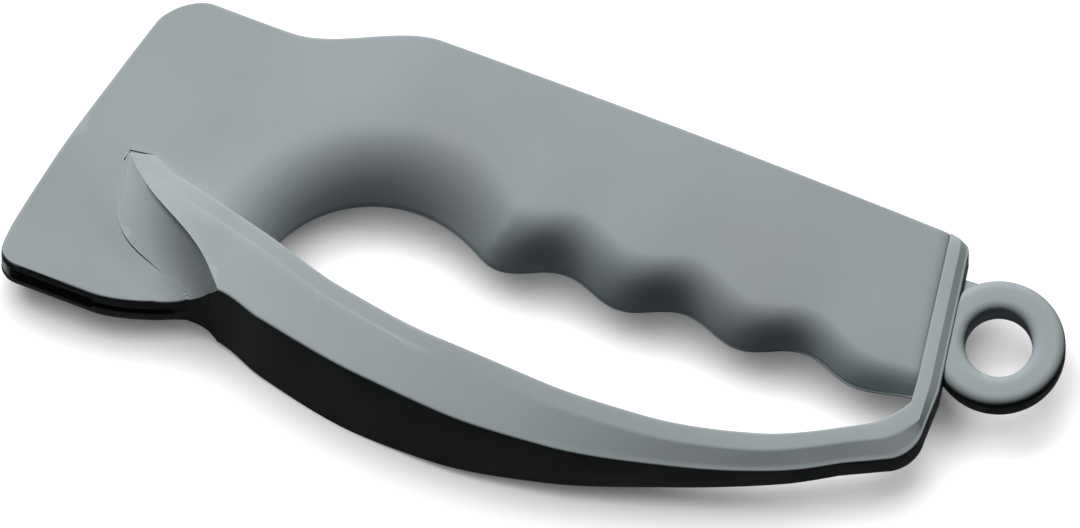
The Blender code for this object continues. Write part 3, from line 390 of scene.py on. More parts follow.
def section_ends(x, grow):
    into = max(x - (FRONT_X - grow), 0.0)
    low = settle(x, grow, low_y) + corner_drop(into, BELLY_CORNER_R)
    high = settle(x, grow, lambda px, g: top_y(px) + g) - corner_drop(into, TOP_CORNER_R)
    return low, high


def plateau(x):
    swell = smooth_step(SWELL_START_X, SWELL_FULL_X, x)
    taper = clamp((x - TAPER_START_X) / (END_X - TAPER_START_X))
    return HEAD_HALF + (GRIP_HALF - HEAD_HALF) * swell - (GRIP_HALF - TAIL_HALF) * taper ** 2


def finger_distance(x, y, grow):
    circle = math.hypot(x - RECESS_X, y - RECESS_Y) - RECESS_R + grow
    if x < RECESS_X - RECESS_R + grow:
        return circle
    return min(circle, y - finger_y(x, grow))


def round_width(x):
    extra = 1.0 - smooth_step(RECESS_ROUND_START_X, 0.0, x)
    return plateau(max(x, SWELL_FULL_X)) * (ROUND_SHARE + RECESS_ROUND_SHARE * extra)


def cheek_fall(x, y):
    """Sink of the cheek towards the belly, away from the wing."""
    off = wing_place(x, y)[1]
    down = smooth_step(CHEEK_FALL_START_Y, CHEEK_FALL_END_Y, y)
    return CHEEK_FALL * down * smooth_step(CHEEK_FALL_OFF, CHEEK_FALL_FULL_OFF, off)


def body_height(x, y, ends, into, grow):
    near_finger = max(finger_distance(x, y, grow), 0.0)
    crown = clamp(1.0 - near_finger / CROWN_WIDTH) ** 2
    full = plateau(x) - CROWN_DROP * crown * smooth_step(SWELL_START_X, SWELL_FULL_X, x)
    land = LAND_SHARE * plateau(x)
    height = land + (full - land) * finger_round(near_finger, round_width(x)) + grow
    height -= cheek_fall(x, y)
    rim = min(ends[1] - y, into)
    if x < RECESS_X - RECESS_R:
        rim = min(rim, y - ends[0])
    return height - corner_drop(max(rim, 0.0), EDGE_R)


def tail_dip(x, grow):
    """Soft shoulder of the grip in front of the tail plate."""
    left = END_X + grow - x
    return TAIL_DIP * (1.0 - quarter_round(left, TAIL_DIP_RUN))


# Scoop beside the wing

def wing_bend(along):
    return -WING_BEND * math.sin(2.0 * math.pi * clamp(along / WING_LENGTH))


def tipward(start, end, along):
    """Blend a size from the wing's root to its tip."""
    return start + (end - start) * clamp(along / WING_LENGTH)


def scoop_depth(along):
    share = clamp((along - SCOOP_START) / (WING_LENGTH - SCOOP_START))
    return HEAD_HALF - (HEAD_HALF - SCOOP_FLOOR) * (1.0 - share) ** SCOOP_FADE_POWER


def wall_run(along, top):
    """Width of the wall beside the wing, which starts steep and flattens out."""
    left = (1.0 - clamp(along / WING_LENGTH)) ** WALL_FADE_POWER
    steep = WALL_TIP_STEEP + (WALL_STEEP - WALL_TIP_STEEP) * left
    return WALL_POWER * (top - scoop_depth(along)) / steep


def scoop_surface(along, off, top):
    """Height of the scoop off the wing's edge: its wall on top of a long rise to the cheek."""
    floor = scoop_depth(along)
    reach = clamp(off / tipward(SCOOP_SWEEP, SCOOP_TIP_SWEEP, along))
    base = floor + (HEAD_HALF - floor) * (1.0 - (1.0 - reach) ** SCOOP_RISE_POWER)
    run = wall_run(along, top)
    if off >= run:
        return base
    return base + (top - floor) * (1.0 - off / run) ** WALL_POWER


def wing_place(x, y):
    spot = Vector((x, y)) - WING_ROOT
    along = spot.dot(ALONG_WING)
    return along, spot.dot(OFF_WING) - wing_bend(along)


def wing_spot(along, off):
    return WING_ROOT + ALONG_WING * along + OFF_WING * (off + wing_bend(along))


def seam_off(along):
    """Distance off the wing's edge where the scoop's wall meets the flat cheek."""
    top = guard_depth(wing_spot(along, 0.0).x)
    near, far = 0.0, wall_run(along, top)
    for _ in range(SEARCH_STEPS):
        middle = (near + far) / 2.0
        if scoop_surface(along, middle, top) > HEAD_HALF:
            near = middle
        else:
            far = middle
    return near


def scooped(x, y, height):
    along, off = wing_place(x, y)
    if off <= 0.0 or along > WING_LENGTH:
        return height
    top = guard_depth(wing_spot(along, 0.0).x)
    return min(height, scoop_surface(along, off, top))


# Guard depths

def guard_depth(x):
    if x < GUARD_WIDEST_X:
        share = clamp((GUARD_WIDEST_X - x) / (GUARD_WIDEST_X - WING_TIP[0]))
        return GUARD_HALF - (GUARD_HALF - HEAD_HALF) * share ** WING_RISE_POWER
    share = clamp((x - GUARD_WIDEST_X) / (GUARD_TAIL_X - GUARD_WIDEST_X)) ** GUARD_FALL_POWER
    return GUARD_HALF - (GUARD_HALF - GUARD_TAIL_HALF) * 0.5 * (1.0 - math.cos(math.pi * share))


def bow_depths(x):
    outer = guard_depth(x)
    flank = outer + FLANK_DROP * smooth_step(FLANK_START_X, FLANK_FULL_X, x)
    step = BAND_STEP * (1.0 - smooth_step(GUARD_WIDEST_X, BAND_STEP_END_X, x))
    step *= smooth_step(WING_TIP[0], BAND_STEP_START_X, x)
    return flank - step, flank, outer


def plate_depths():
    return PLATE_HALF, PLATE_HALF, PLATE_HALF - PLATE_DROP


def plate_inner_x(y):
    return END_X + SEAM + TAIL_SLOPE_SHARE * y


# Meshes

def new_object(name, mesh):
    thing = bpy.data.objects.new(name, mesh)
    bpy.context.scene.collection.objects.link(thing)
    return thing


def finish_mesh(name, bm):
    bent = [face for face in bm.faces if len(face.verts) == 4]
    bmesh.ops.connect_verts_nonplanar(bm, angle_limit=FLAT_ANGLE, faces=bent)
    bmesh.ops.recalc_face_normals(bm, faces=bm.faces)
    mesh = bpy.data.meshes.new(name)
    bm.to_mesh(mesh)
    bm.free()
    return new_object(name, mesh)


def cap(bm, row, bent):
    """Close a ring; a bent one runs out and back, and gets a ladder of faces."""
    if not bent:
        bm.faces.new(row)
        return
    for i in range(len(row) // 2 - 1):
        bm.faces.new((row[i], row[i + 1], row[-i - 2], row[-i - 1]))


def loft(name, rings, bent=False):
    """Closed solid through rings of equal count, capped at both ends."""
    bm = bmesh.new()
    rows = [[bm.verts.new(point) for point in ring] for ring in rings]
    count = len(rows[0])
    for row, after in zip(rows, rows[1:]):
        for i in range(count):
            j = (i + 1) % count
            bm.faces.new((row[i], row[j], after[j], after[i]))
    cap(bm, rows[0], bent)
    cap(bm, rows[-1], bent)
    return finish_mesh(name, bm)


def prism(name, outline, low, high):
    return loft(name, [[(x, y, z) for x, y in outline] for z in (low, high)])


def box(name, low, high):
    outline = ((low[0], low[1]), (high[0], low[1]), (high[0], high[1]), (low[0], high[1]))
    return prism(name, outline, low[2], high[2])


def rod(name, spot, bottom, top, radius):
    turns = [2.0 * math.pi * i / ROD_SEGMENTS for i in range(ROD_SEGMENTS)]
    outline = [(spot[0] + radius * math.cos(t), spot[1] + radius * math.sin(t)) for t in turns]
    return prism(name, outline, bottom, top)


def plain_mesh(thing):
    """Turn an object with modifiers into its finished mesh."""
    depsgraph = bpy.context.evaluated_depsgraph_get()
    mesh = bpy.data.meshes.new_from_object(thing.evaluated_get(depsgraph))
    thing.modifiers.clear()
    thing.data = mesh


def boolean(target, others, operation):
    """Cut with, or join to, helper solids, which are then removed."""
    for other in others:
        modifier = target.modifiers.new(operation.lower(), "BOOLEAN")
        modifier.operation = operation
        modifier.object = other
        plain_mesh(target)
        bpy.data.objects.remove(other)


def smooth(thing):
    """Merge hairline edges, shade smooth and keep the real edges crisp."""
    bm = bmesh.new()
    bm.from_mesh(thing.data)
    bmesh.ops.remove_doubles(bm, verts=bm.verts, dist=HAIR)
    bmesh.ops.dissolve_degenerate(bm, edges=bm.edges, dist=HAIR)
    bm.to_mesh(thing.data)
    bm.free()
    thing.data.shade_smooth()
    thing.data.set_sharp_from_angle(angle=math.radians(CRISP_DEGREES))


# Shells

def spread(start, end, count):
    return [start + (end - start) * i / count for i in range(count)]


def body_stations(grow):
    """X of each section: close at the front's rounding and where the recess starts."""
    front = FRONT_X - grow
    fork = RECESS_X - RECESS_R + grow
    last = WAVE_CREST_X + WAVE_COUNT * WAVE_PITCH
    xs = [front + EDGE_R * share for share in FRONT_EDGE_SHARES]
    xs += spread(front + FRONT_CLEAR_SHARE * EDGE_R, front + TOP_CORNER_R, TOP_CORNER_STATIONS)
    xs += spread(front + TOP_CORNER_R, NOSE_X, HEAD_STATIONS)
    xs += spread(NOSE_X, NOSE_X + TONGUE_STEP_RUN, TONGUE_STEP_STATIONS)
    xs += spread(NOSE_X + TONGUE_STEP_RUN, fork - 2.0 * SEAM, TONGUE_STATIONS)
    xs += [fork - 2.0 * SEAM]
    xs += [fork + RECESS_R * (i / RECESS_PARTS) ** RECESS_POWER for i in range(1, RECESS_STATIONS)]
    xs += spread(fork + RECESS_R * RECESS_REST_SHARE, WAVE_CREST_X, RECESS_REST_STATIONS)
    xs += spread(WAVE_CREST_X, last, WAVE_STATIONS * WAVE_COUNT)
    end = END_X + grow
    xs += spread(last, end - TAIL_EDGE_SHARES[0] * TAIL_DIP_RUN, TAIL_STATIONS)
    xs += [end - TAIL_DIP_RUN * share for share in TAIL_EDGE_SHARES]
    return sorted(x for x in xs if x < end) + [end]


def seam_share(x, low, high):
    """Share across the section at which the wing's seam crosses it."""
    near, far = low, high
    for _ in range(SEARCH_STEPS):
        y = (near + far) / 2.0
        along, off = wing_place(x + shift(x, y), y)
        if off > seam_off(along):
            near = y
        else:
            far = y
    share = (near - low) / (high - low)
    rest = LOWER_LEAST_SHARE + LOWER_MORE_SHARE * smooth_step(NOSE_X, RECESS_X, x)
    return max(share, rest)


def section_shares(split):
    """Places across a section: close at the finger side, at the seam and at the back."""
    lower = [split * (i / ACROSS_LOWER) ** LOWER_POWER for i in range(ACROSS_LOWER)]
    upper = [1.0 - (1.0 - split) * (1.0 - i / ACROSS_UPPER) ** UPPER_POWER
             for i in range(ACROSS_UPPER + 1)]
    return lower + upper


def section_heights(x, grow, carve):
    low, high = section_ends(x, grow)
    into = max(x - (FRONT_X - grow), 0.0)
    heights = []
    for share in section_shares(seam_share(x, low, high)):
        y = low + share * (high - low)
        px = x + shift(x, y)
        height = body_height(px, y, (low, high), into, grow) - tail_dip(x, grow)
        if carve:
            rim = max(min(into, y - low), 0.0)
            sunk = scooped(px, y, height) - corner_drop(rim, EDGE_R) * SCOOP_RIM_SHARE
            height = min(height, sunk)
        heights.append((px, y, height))
    return heights


def body_half(name, side, floor):
    """Outer form of one shell, scooped beside the wing and flat at the parting plane."""
    rings = []
    for x in body_stations(0.0):
        top = section_heights(x, 0.0, True)
        ring = [(px, y, side * max(z, floor + RIM_LEAST)) for px, y, z in top]
        rings.append(ring + [(px, y, side * floor) for px, y, z in reversed(top)])
    return loft(name, rings, True)


def grown_body(name, grow):
    """Both halves in one, grown and without scoops; FIT keeps the thin tail from crossing itself."""
    rings = []
    for x in body_stations(grow):
        top = [(px, y, max(z, FIT)) for px, y, z in section_heights(x, grow, False)]
        rings.append(top + [(px, y, -z) for px, y, z in reversed(top)])
    return loft(name, rings, True)


def slot_forms():
    """Knife slot and its wider mouth."""
    front = FRONT_X + FRONT_SLOPE_SHARE * BELLY_Y - OVERRUN
    below = BELLY_Y - OVERRUN
    ceiling = BELLY_Y + SLOT_DEPTH
    outline = ((front, below), (SLOT_EXIT_X, below), (SLOT_EXIT_X, belly_y(SLOT_EXIT_X)),
               (SLOT_FULL_X, ceiling), (front, ceiling))
    slot = prism("slot", outline, -SLOT_HALF, SLOT_HALF)
    slope = (SLOT_MOUTH_HALF - SLOT_HALF) / SLOT_MOUTH_DEPTH
    wide = SLOT_MOUTH_HALF + OVERRUN * slope
    narrow = SLOT_HALF / 2.0
    top = below + (wide - narrow) / slope
    section = ((below, -wide), (below, wide), (top, narrow), (top, -narrow))
    rings = [[(x, y, z) for y, z in section] for x in (front, BELLY_RISE_START_X)]
    return [slot, loft("slot_mouth", rings)]


def carrier_pocket():
    low = (CARRIER_X - FIT, CARRIER_Y - FIT, -CARRIER_HALF - FIT)
    high = (CARRIER_X + CARRIER_LENGTH + FIT, CARRIER_Y + CARRIER_HEIGHT + FIT,
            CARRIER_HALF + KEEPER_STACK)
    return box("carrier_pocket", low, high)


def make_shell(name, side):
    """One moulded half of head and grip, with its slot, pocket and screw holes."""
    shell = body_half(name, side, PARTING / 2.0)
    cutters = [rebate_form(side, SEAM), carrier_pocket()] + slot_forms()
    cutters.append(rod("pin_hole", (PIN_X, PIN_Y), -GRIP_HALF, GRIP_HALF, PIN_R + FIT))
    for spot in SCREW_SPOTS:
        if side < 0.0:
            cutters.append(rod("screw_hole", spot, -SCREW_SEAT - OVERRUN, OVERRUN, SCREW_R + FIT))
            cutters.append(rod("counterbore", spot, -GRIP_HALF - OVERRUN, -SCREW_SEAT,
                               SCREW_HEAD_R + FIT))
        else:
            cutters.append(rod("blind_hole", spot, -OVERRUN, SCREW_LENGTH - SCREW_SEAT,
                               SCREW_R + FIT))
    boolean(shell, cutters, "DIFFERENCE")
    smooth(shell)
    return shell


# Guard

def arc_corner(from_off, from_z, to_off, to_z, bulge):
    """Points round a convex edge between two faces; bulge is its sharp corner."""
    points = []
    for i in range(EDGE_POINTS + 1):
        t = i / EDGE_POINTS
        a, b, c = (1.0 - t) ** 2, 2.0 * t * (1.0 - t), t * t
        points.append((a * from_off + b * bulge[0] + c * to_off,
                       a * from_z + b * bulge[1] + c * to_z))
    return points


def guard_section(inner, outer, depths, band, step_width, edge=GUARD_EDGE_R):
    """Section between an inner and an outer point: edge, band, crease, flank and edge."""
    band_half, flank_half, outer_half = depths
    run = Vector(outer) - Vector(inner)
    width = run.length
    r = min(edge, EDGE_MOST_SHARE * width)
    band = min(band, BAND_MOST_SHARE * width)
    step_width = min(step_width, STEP_MOST_SHARE * width)
    half = arc_corner(0.0, band_half - r, r, band_half, (0.0, band_half))
    crease = band + step_width
    soft = CREASE_SOFT_SHARE * step_width
    half += [(band - soft, band_half), (band, band_half),
             (band + soft, band_half + CREASE_FALL_SHARE * (flank_half - band_half)),
             (crease, flank_half)]
    for share in FLANK_SHARES:
        half.append((crease + (width - r - crease) * share,
                     flank_half + (outer_half - flank_half) * share))
    half += arc_corner(width - r, outer_half, width, outer_half - r, (width, outer_half))
    ring = half + [(off, -z) for off, z in reversed(half)]
    return [(*(Vector(inner) + run * (off / width)), z) for off, z in ring]


def wing_sections(count):
    """Sections of the wings, level across, from their thin tip to the nose."""
    rings = []
    start = WING_LENGTH - WING_CUT
    for i in range(count + 1):
        share = i / count
        along = start + (SCOOP_START - start) * share
        crest = wing_spot(along, 0.0)
        outer = wing_spot(along, seam_off(along) + 2.0 * FIT)
        inner_x = WING_INNER_X + (WING_INNER_END_X - WING_INNER_X) * share
        middle_x = (inner_x + crest.x) / 2.0
        depths = bow_depths(crest.x + (middle_x - crest.x) * share)
        point = (inner_x, through(INNER_LINE, inner_x))
        grown = smooth_step(0.0, WING_EDGE_FADE_SHARE, share)
        edge = GUARD_EDGE_R * max(grown, WING_EDGE_LEAST_SHARE)
        rings.append(guard_section(point, outer, depths, BAND_WIDTH, BAND_STEP, edge))
    return rings


def bow_sections(count):
    """Sections of the bow, from the nose to the corner at the tail."""
    start_in, end_in = guard_x(BOW_START_SHARE), guard_x(BOW_END_SHARE)
    start_out, end_out = NOSE_X + TONGUE_STEP, guard_x(BOW_OUTER_END_SHARE)
    rings = []
    for i in range(1, count + 1):
        share = i / count
        inner_x = start_in + (end_in - start_in) * share
        outer_x = start_out + (end_out - start_out) * share
        inner = (inner_x, through(INNER_LINE, inner_x))
        outer = (outer_x, through(OUTER_LINE, outer_x))
        depths = bow_depths((inner_x + outer_x) / 2.0)
        rings.append(guard_section(inner, outer, depths, BAND_WIDTH, BAND_STEP))
    return rings


def corner_sections(count):
    """Sections round the corner, where the bow turns up into the tail plate."""
    rings = []
    join_x = guard_x(BOW_END_SHARE)
    for i in range(1, count + 1):
        share = i / count
        angle = math.radians(CORNER_START_DEGREES + CORNER_TURN_DEGREES * share)
        outer = (CORNER_X + CORNER_R * math.cos(angle), CORNER_Y + CORNER_R * math.sin(angle))
        inner_x = join_x + (plate_inner_x(0.0) - join_x) * share ** CORNER_INNER_POWER
        lift = (share ** 2) * CORNER_R * CORNER_LIFT_SHARE
        inner = (inner_x, through(INNER_LINE, inner_x) + lift)
        blend = zip(bow_depths(join_x), plate_depths())
        depths = [a + (b - a) * share for a, b in blend]
        rings.append(guard_section(inner, outer, depths, BAND_WIDTH, BAND_STEP))
    return rings


def plate_sections():
    """Sections of the plate across the grip's tail, up to its rounded top."""
    heights = [PLATE_TOP_Y * share for share in PLATE_SHARES]
    heights += [PLATE_TOP_Y - PLATE_CORNER_R * share for share in PLATE_CORNER_SHARES]
    rings = []
    for y in heights:
        share = y / PLATE_TOP_Y
        thick = PLATE_ROOT_THICK + (PLATE_TOP_THICK - PLATE_ROOT_THICK) * share
        drop = corner_drop(max(PLATE_TOP_Y - y, 0.0), PLATE_CORNER_R)
        inner = (plate_inner_x(y), y)
        left = thick - PLATE_THICK_DROP_SHARE * drop
        outer = (inner[0] + thick - PLATE_THICK_DROP_SHARE * drop, y + TAIL_SLOPE_SHARE * thick)
        depths = [depth - PLATE_DEPTH_DROP_SHARE * drop for depth in plate_depths()]
        band, step_width = PLATE_BAND_SHARE * left, BAND_STEP / PLATE_STEP_PARTS
        rings.append(guard_section(inner, outer, depths, band, step_width))
    return rings


def scoop_cutter(side):
    """Solid that clears the scoop's volume off the guard's wings, with a fine wall."""
    rings = []
    for i in range(SCOOP_STATIONS + 1):
        along = (WING_LENGTH + SCOOP_START) * i / SCOOP_STATIONS - SCOOP_START
        top = guard_depth(wing_spot(along, 0.0).x)
        run = wall_run(along, top)
        reach = max(run, FIT) * SCOOP_REACH_SHARE
        offs = [reach * j / SCOOP_POINTS for j in range(SCOOP_POINTS + 1)]
        ring = [(*wing_spot(along, off), side * scoop_surface(along, off, top)) for off in offs]
        lead = (*wing_spot(along, -OVERRUN * SCOOP_LEAD_SHARE), side * (top + OVERRUN))
        roof = side * (GUARD_HALF + 2.0 * OVERRUN)
        ring = [lead] + ring
        rings.append(ring + [(*ring[-1][:2], roof), (*ring[0][:2], roof)])
    return loft("scoop_cutter", rings)


def rebate_form(side, grow):
    """Shallow seat of a wing in the cheek, which hides the seam's crease."""
    alongs = spread(-SCOOP_START, WING_LENGTH, SEAT_POINTS)
    outline = [wing_spot(along, seam_off(along) + grow) for along in alongs]
    outline.append(wing_spot(WING_LENGTH, 0.0) + ALONG_WING * grow)
    for x in spread(WING_INNER_X, outline[0].x, SEAT_INNER_POINTS) + [outline[0].x]:
        outline.append((x, through(INNER_LINE, x) + grow))
    bottom = side * (HEAD_HALF - REBATE_DEPTH + SEAM - grow)
    return prism("rebate", outline, bottom, side * (GUARD_HALF + OVERRUN))


def eye_web():
    """Web between the tail plate and the ring."""
    reach = EYE_X - EYE_HOLE_R * EYE_WEB_REACH_SHARE
    low_x = plate_inner_x(EYE_WEB_BOTTOM_Y) + PLATE_TOP_THICK / 2.0
    high_x = plate_inner_x(EYE_WEB_TOP_Y) + PLATE_TOP_THICK / 2.0
    outline = ((low_x, EYE_WEB_BOTTOM_Y), (reach, EYE_Y - EYE_HOLE_R * EYE_WEB_LOW_SHARE),
               (reach, EYE_Y + EYE_HOLE_R * EYE_WEB_HIGH_SHARE), (high_x, EYE_WEB_TOP_Y))
    web = prism("eye_web", outline, -EYE_WEB_HALF, EYE_WEB_HALF)
    middle_r = (EYE_R + EYE_HOLE_R) / 2.0
    boolean(web, [rod("eye_hole", (EYE_X, EYE_Y), -GRIP_HALF, GRIP_HALF, middle_r)], "DIFFERENCE")
    return web


def make_guard():
    """Wings, bow, tail plate and lanyard eye in one moulding."""
    rings = wing_sections(WING_STATIONS) + bow_sections(BOW_STATIONS)
    rings += corner_sections(CORNER_STATIONS) + plate_sections()
    guard = loft("guard_moulding", rings)
    for side in (1.0, -1.0):
        boolean(guard, [scoop_cutter(side)], "DIFFERENCE")
    yoke = grown_body("yoke", SEAM)
    boolean(yoke, [rebate_form(1.0, 0.0), rebate_form(-1.0, 0.0)], "DIFFERENCE")
    boolean(guard, [yoke], "DIFFERENCE")
    boolean(guard, [eye_ring(), eye_web()], "UNION")
    pin = rod("pin_hole", (PIN_X, PIN_Y), -GUARD_HALF - OVERRUN, PIN_NEAR_Z + FIT, PIN_R + FIT)
    boolean(guard, [pin], "DIFFERENCE")
    smooth(guard)
    return guard


# Geometry Nodes: the lanyard eye's ring

def add(tree, kind, links=(), values=(), **settings):
    """Add a node with its settings, its input values and the links into it."""
    node = tree.nodes.new(kind)
    for name, value in settings.items():
        setattr(node, name, value)
    for key, value in values:
        node.inputs[key].default_value = value
    for key, source in links:
        tree.links.new(source, node.inputs[key])
    return node


def node_group(name, sizes):
    """Empty geometry group with a named input for each size."""
    group = bpy.data.node_groups.new(name, "GeometryNodeTree")
    group.interface.new_socket("Geometry", in_out="OUTPUT", socket_type="NodeSocketGeometry")
    for label in sizes:
        group.interface.new_socket(label, in_out="INPUT", socket_type="NodeSocketFloat")
    return group, add(group, "NodeGroupInput"), add(group, "NodeGroupOutput")


def finish_group(tree, shape, result, material):
    """End a group with real geometry in its own material."""
    real = add(tree, "GeometryNodeRealizeInstances", links=(("Geometry", shape),))
    coat = add(tree, "GeometryNodeSetMaterial", values=(("Material", material),),
               links=(("Geometry", real.outputs["Geometry"]),))
    tree.links.new(coat.outputs["Geometry"], result.inputs["Geometry"])


def grow_piece(name, group, sizes):
    """Run a geometry group on an empty mesh and keep the result as a plain mesh."""
    thing = new_object(name, bpy.data.meshes.new(name))
    modifier = thing.modifiers.new("shape", "NODES")
    modifier.node_group = group
    for item in group.interface.items_tree:
        if item.in_out == "INPUT":
            modifier[item.identifier] = sizes[item.name]
    plain_mesh(thing)
    return thing


def eye_ring():
    """Lanyard eye: a rounded profile swept round a circle."""
    sizes = {"Ring radius": (EYE_R + EYE_HOLE_R) / 2.0, "Width": EYE_R - EYE_HOLE_R,
             "Height": 2.0 * EYE_HALF, "Rounding": EYE_ROUND}
    tree, given, result = node_group("swept_eye", sizes)
    path = add(tree, "GeometryNodeCurvePrimitiveCircle", values=(("Resolution", EYE_SEGMENTS),),
               links=(("Radius", given.outputs["Ring radius"]),))
    profile = add(tree, "GeometryNodeCurvePrimitiveQuadrilateral", links=(
        ("Width", given.outputs["Width"]), ("Height", given.outputs["Height"])))
    profile = add(tree, "GeometryNodeFilletCurve", mode="POLY",
                  values=(("Count", EYE_ROUND_POINTS),),
                  links=(("Curve", profile.outputs["Curve"]), ("Radius", given.outputs["Rounding"])))
    sweep = add(tree, "GeometryNodeCurveToMesh", links=(
        ("Curve", path.outputs["Curve"]), ("Profile Curve", profile.outputs["Curve"])))
    finish_group(tree, sweep.outputs["Mesh"], result, GREY_ABS)
    ring = grow_piece("eye_ring", tree, sizes)
    ring.data.transform(Matrix.Translation((EYE_X, EYE_Y, 0.0)))
    return ring


# Materials

# Middle range of a noise, which is what a pattern uses
NOISE_LOW = 0.3
NOISE_HIGH = 0.7

# Plastic: clouds left by the melt's flow, dull and shiny patches from handling, and the mould's
# grain, which is drawn three times as coarse as the real 0.1 mm so that it shows
CLOUD_MM = 22.0
HANDLING_MM = 6.0
GRAIN_MM = 0.30
GRAIN_DEPTH = 0.010 / 1000.0
PLASTIC_ROUGH_VARY = 0.04
PLASTIC_IOR = 1.5
PLASTIC_SPECULAR = 0.02

# Painted highlight on edges: how sharp an edge starts to show it, and how much it shows
HIGHLIGHT_START = 0.505
HIGHLIGHT_FULL = 0.56
EDGE_HIGHLIGHT = 0.5

# Metal: depth of the lines and how much they change the roughness
LINE_DEPTH = 0.004 / 1000.0
METAL_ROUGH_VARY = 0.08


def srgb(code):
    """Linear colour of an sRGB hex value."""
    parts = [int(code[i:i + 2], 16) / 255.0 for i in (1, 3, 5)]
    return [p / 12.92 if p <= 0.04045 else ((p + 0.055) / 1.055) ** 2.4 for p in parts] + [1.0]


def new_material(name):
    made = bpy.data.materials.new(name)
    made.use_nodes = True
    tree = made.node_tree
    tree.nodes.clear()
    shader = add(tree, "ShaderNodeBsdfPrincipled")
    add(tree, "ShaderNodeOutputMaterial", links=(("Surface", shader.outputs["BSDF"]),))
    place = add(tree, "ShaderNodeTexCoord").outputs["Object"]
    return made, tree, shader, place


def pattern(tree, place, size_mm, detail, stretch=(1.0, 1.0, 1.0)):
    """Noise with features of about the given size."""
    spot = add(tree, "ShaderNodeMapping", links=(("Vector", place),), values=(("Scale", stretch),))
    return add(tree, "ShaderNodeTexNoise", links=(("Vector", spot.outputs["Vector"]),),
               values=(("Scale", 1000.0 / size_mm), ("Detail", detail))).outputs["Fac"]


def span(low, high, start=NOISE_LOW, end=NOISE_HIGH):
    """Map Range settings that spread a pattern's middle range over two values."""
    return ("From Min", start), ("From Max", end), ("To Min", low), ("To Max", high)


def moulded_plastic(name, main, light, dark, roughness):
    """Plastic moulded in a spark-eroded tool, with sharp edges made paler as a painted highlight."""
    made, tree, shader, place = new_material(name)
    cloud = add(tree, "ShaderNodeMapRange", values=span(0.0, 1.0),
                links=(("Value", pattern(tree, place, CLOUD_MM, 3.0)),))
    tint = add(tree, "ShaderNodeMix", data_type="RGBA", values=((6, dark), (7, main)),
               links=((0, cloud.outputs["Result"]),))
    # Sharp edges, found by their pointiness, are painted paler as a highlight
    edge = add(tree, "ShaderNodeNewGeometry").outputs["Pointiness"]
    highlit = add(tree, "ShaderNodeMapRange", values=span(0.0, EDGE_HIGHLIGHT, HIGHLIGHT_START, HIGHLIGHT_FULL),
               links=(("Value", edge),))
    coat = add(tree, "ShaderNodeMix", data_type="RGBA", values=((7, light),),
               links=((0, highlit.outputs["Result"]), (6, tint.outputs[2])))
    tree.links.new(coat.outputs[2], shader.inputs["Base Color"])
    rough = add(tree, "ShaderNodeMapRange",
                values=span(roughness - PLASTIC_ROUGH_VARY, roughness + PLASTIC_ROUGH_VARY),
                links=(("Value", pattern(tree, place, HANDLING_MM, 4.0)),))
    tree.links.new(rough.outputs["Result"], shader.inputs["Roughness"])
    shader.inputs["IOR"].default_value = PLASTIC_IOR
    shader.inputs["Specular IOR Level"].default_value = PLASTIC_SPECULAR
    grain = add(tree, "ShaderNodeBump", links=(("Height", pattern(tree, place, GRAIN_MM, 2.0)),),
                values=(("Strength", 1.0), ("Distance", GRAIN_DEPTH)))
    tree.links.new(grain.outputs["Normal"], shader.inputs["Normal"])
    return made


def ground_metal(name, main, dark, roughness, line_mm, stretch):
    """Metal with fine lines from grinding or turning."""
    made, tree, shader, place = new_material(name)
    lines = pattern(tree, place, line_mm, 3.0, stretch)
    tone = add(tree, "ShaderNodeMapRange", values=span(0.0, 1.0), links=(("Value", lines),))
    coat = add(tree, "ShaderNodeMix", data_type="RGBA", values=((6, dark), (7, main)),
               links=((0, tone.outputs["Result"]),))
    tree.links.new(coat.outputs[2], shader.inputs["Base Color"])
    rough = add(tree, "ShaderNodeMapRange", links=(("Value", lines),),
                values=span(roughness - METAL_ROUGH_VARY, roughness + METAL_ROUGH_VARY))
    tree.links.new(rough.outputs["Result"], shader.inputs["Roughness"])
    shader.inputs["Metallic"].default_value = 1.0
    scored = add(tree, "ShaderNodeBump", links=(("Height", lines),),
                 values=(("Strength", 1.0), ("Distance", LINE_DEPTH)))
    tree.links.new(scored.outputs["Normal"], shader.inputs["Normal"])
    return made


# ABS from a spark-eroded mould: a dull, even grey without shiny highlights, edges a touch paler as a
# painted highlight
GREY_ABS = moulded_plastic("moulded_grey_abs", main=srgb("#9DA6A8"), light=srgb("#AAB3B5"),
                           dark=srgb("#999FA2"), roughness=0.75)

# Nylon from the same kind of mould: near black and matt, edges a touch paler as a painted highlight
BLACK_NYLON = moulded_plastic("moulded_black_nylon", main=srgb("#26282A"), light=srgb("#3A3C3E"),
                              dark=srgb("#202224"), roughness=0.5)

# Sintered carbide, ground: dark grey with fine grinding lines
CARBIDE = ground_metal("ground_carbide", main=srgb("#7A7B7E"), dark=srgb("#5E6064"),
                       roughness=0.32, line_mm=0.25, stretch=(1.0, 0.1, 1.0))

# Turned steel with a zinc coat: pale silver with faint lines along the shank
STEEL = ground_metal("turned_zinc_plated_steel", main=srgb("#C3C4C4"), dark=srgb("#A9ABAC"),
                     roughness=0.3, line_mm=0.4, stretch=(1.0, 1.0, 0.2))


# Pieces

def place_piece(thing, material, nodes):
    """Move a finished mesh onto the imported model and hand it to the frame."""
    thing.data.transform(Matrix.Translation(OFFSET))
    thing.data.materials.clear()
    thing.data.materials.append(material)
    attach(thing, "root")
    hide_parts(*nodes)


place_piece(make_shell("near_shell_moulding", 1.0), GREY_ABS, ["near_shell"])
place_piece(make_shell("far_shell_moulding", -1.0), GREY_ABS, ["far_shell"])
place_piece(make_guard(), GREY_ABS, ["guard"])

KEPT = {"cutter_carrier": BLACK_NYLON, "front_cutter": CARBIDE, "rear_cutter": CARBIDE}
for name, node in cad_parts.items():
    for slot in node.material_slots:
        slot.material = KEPT.get(name, STEEL)


# Stage

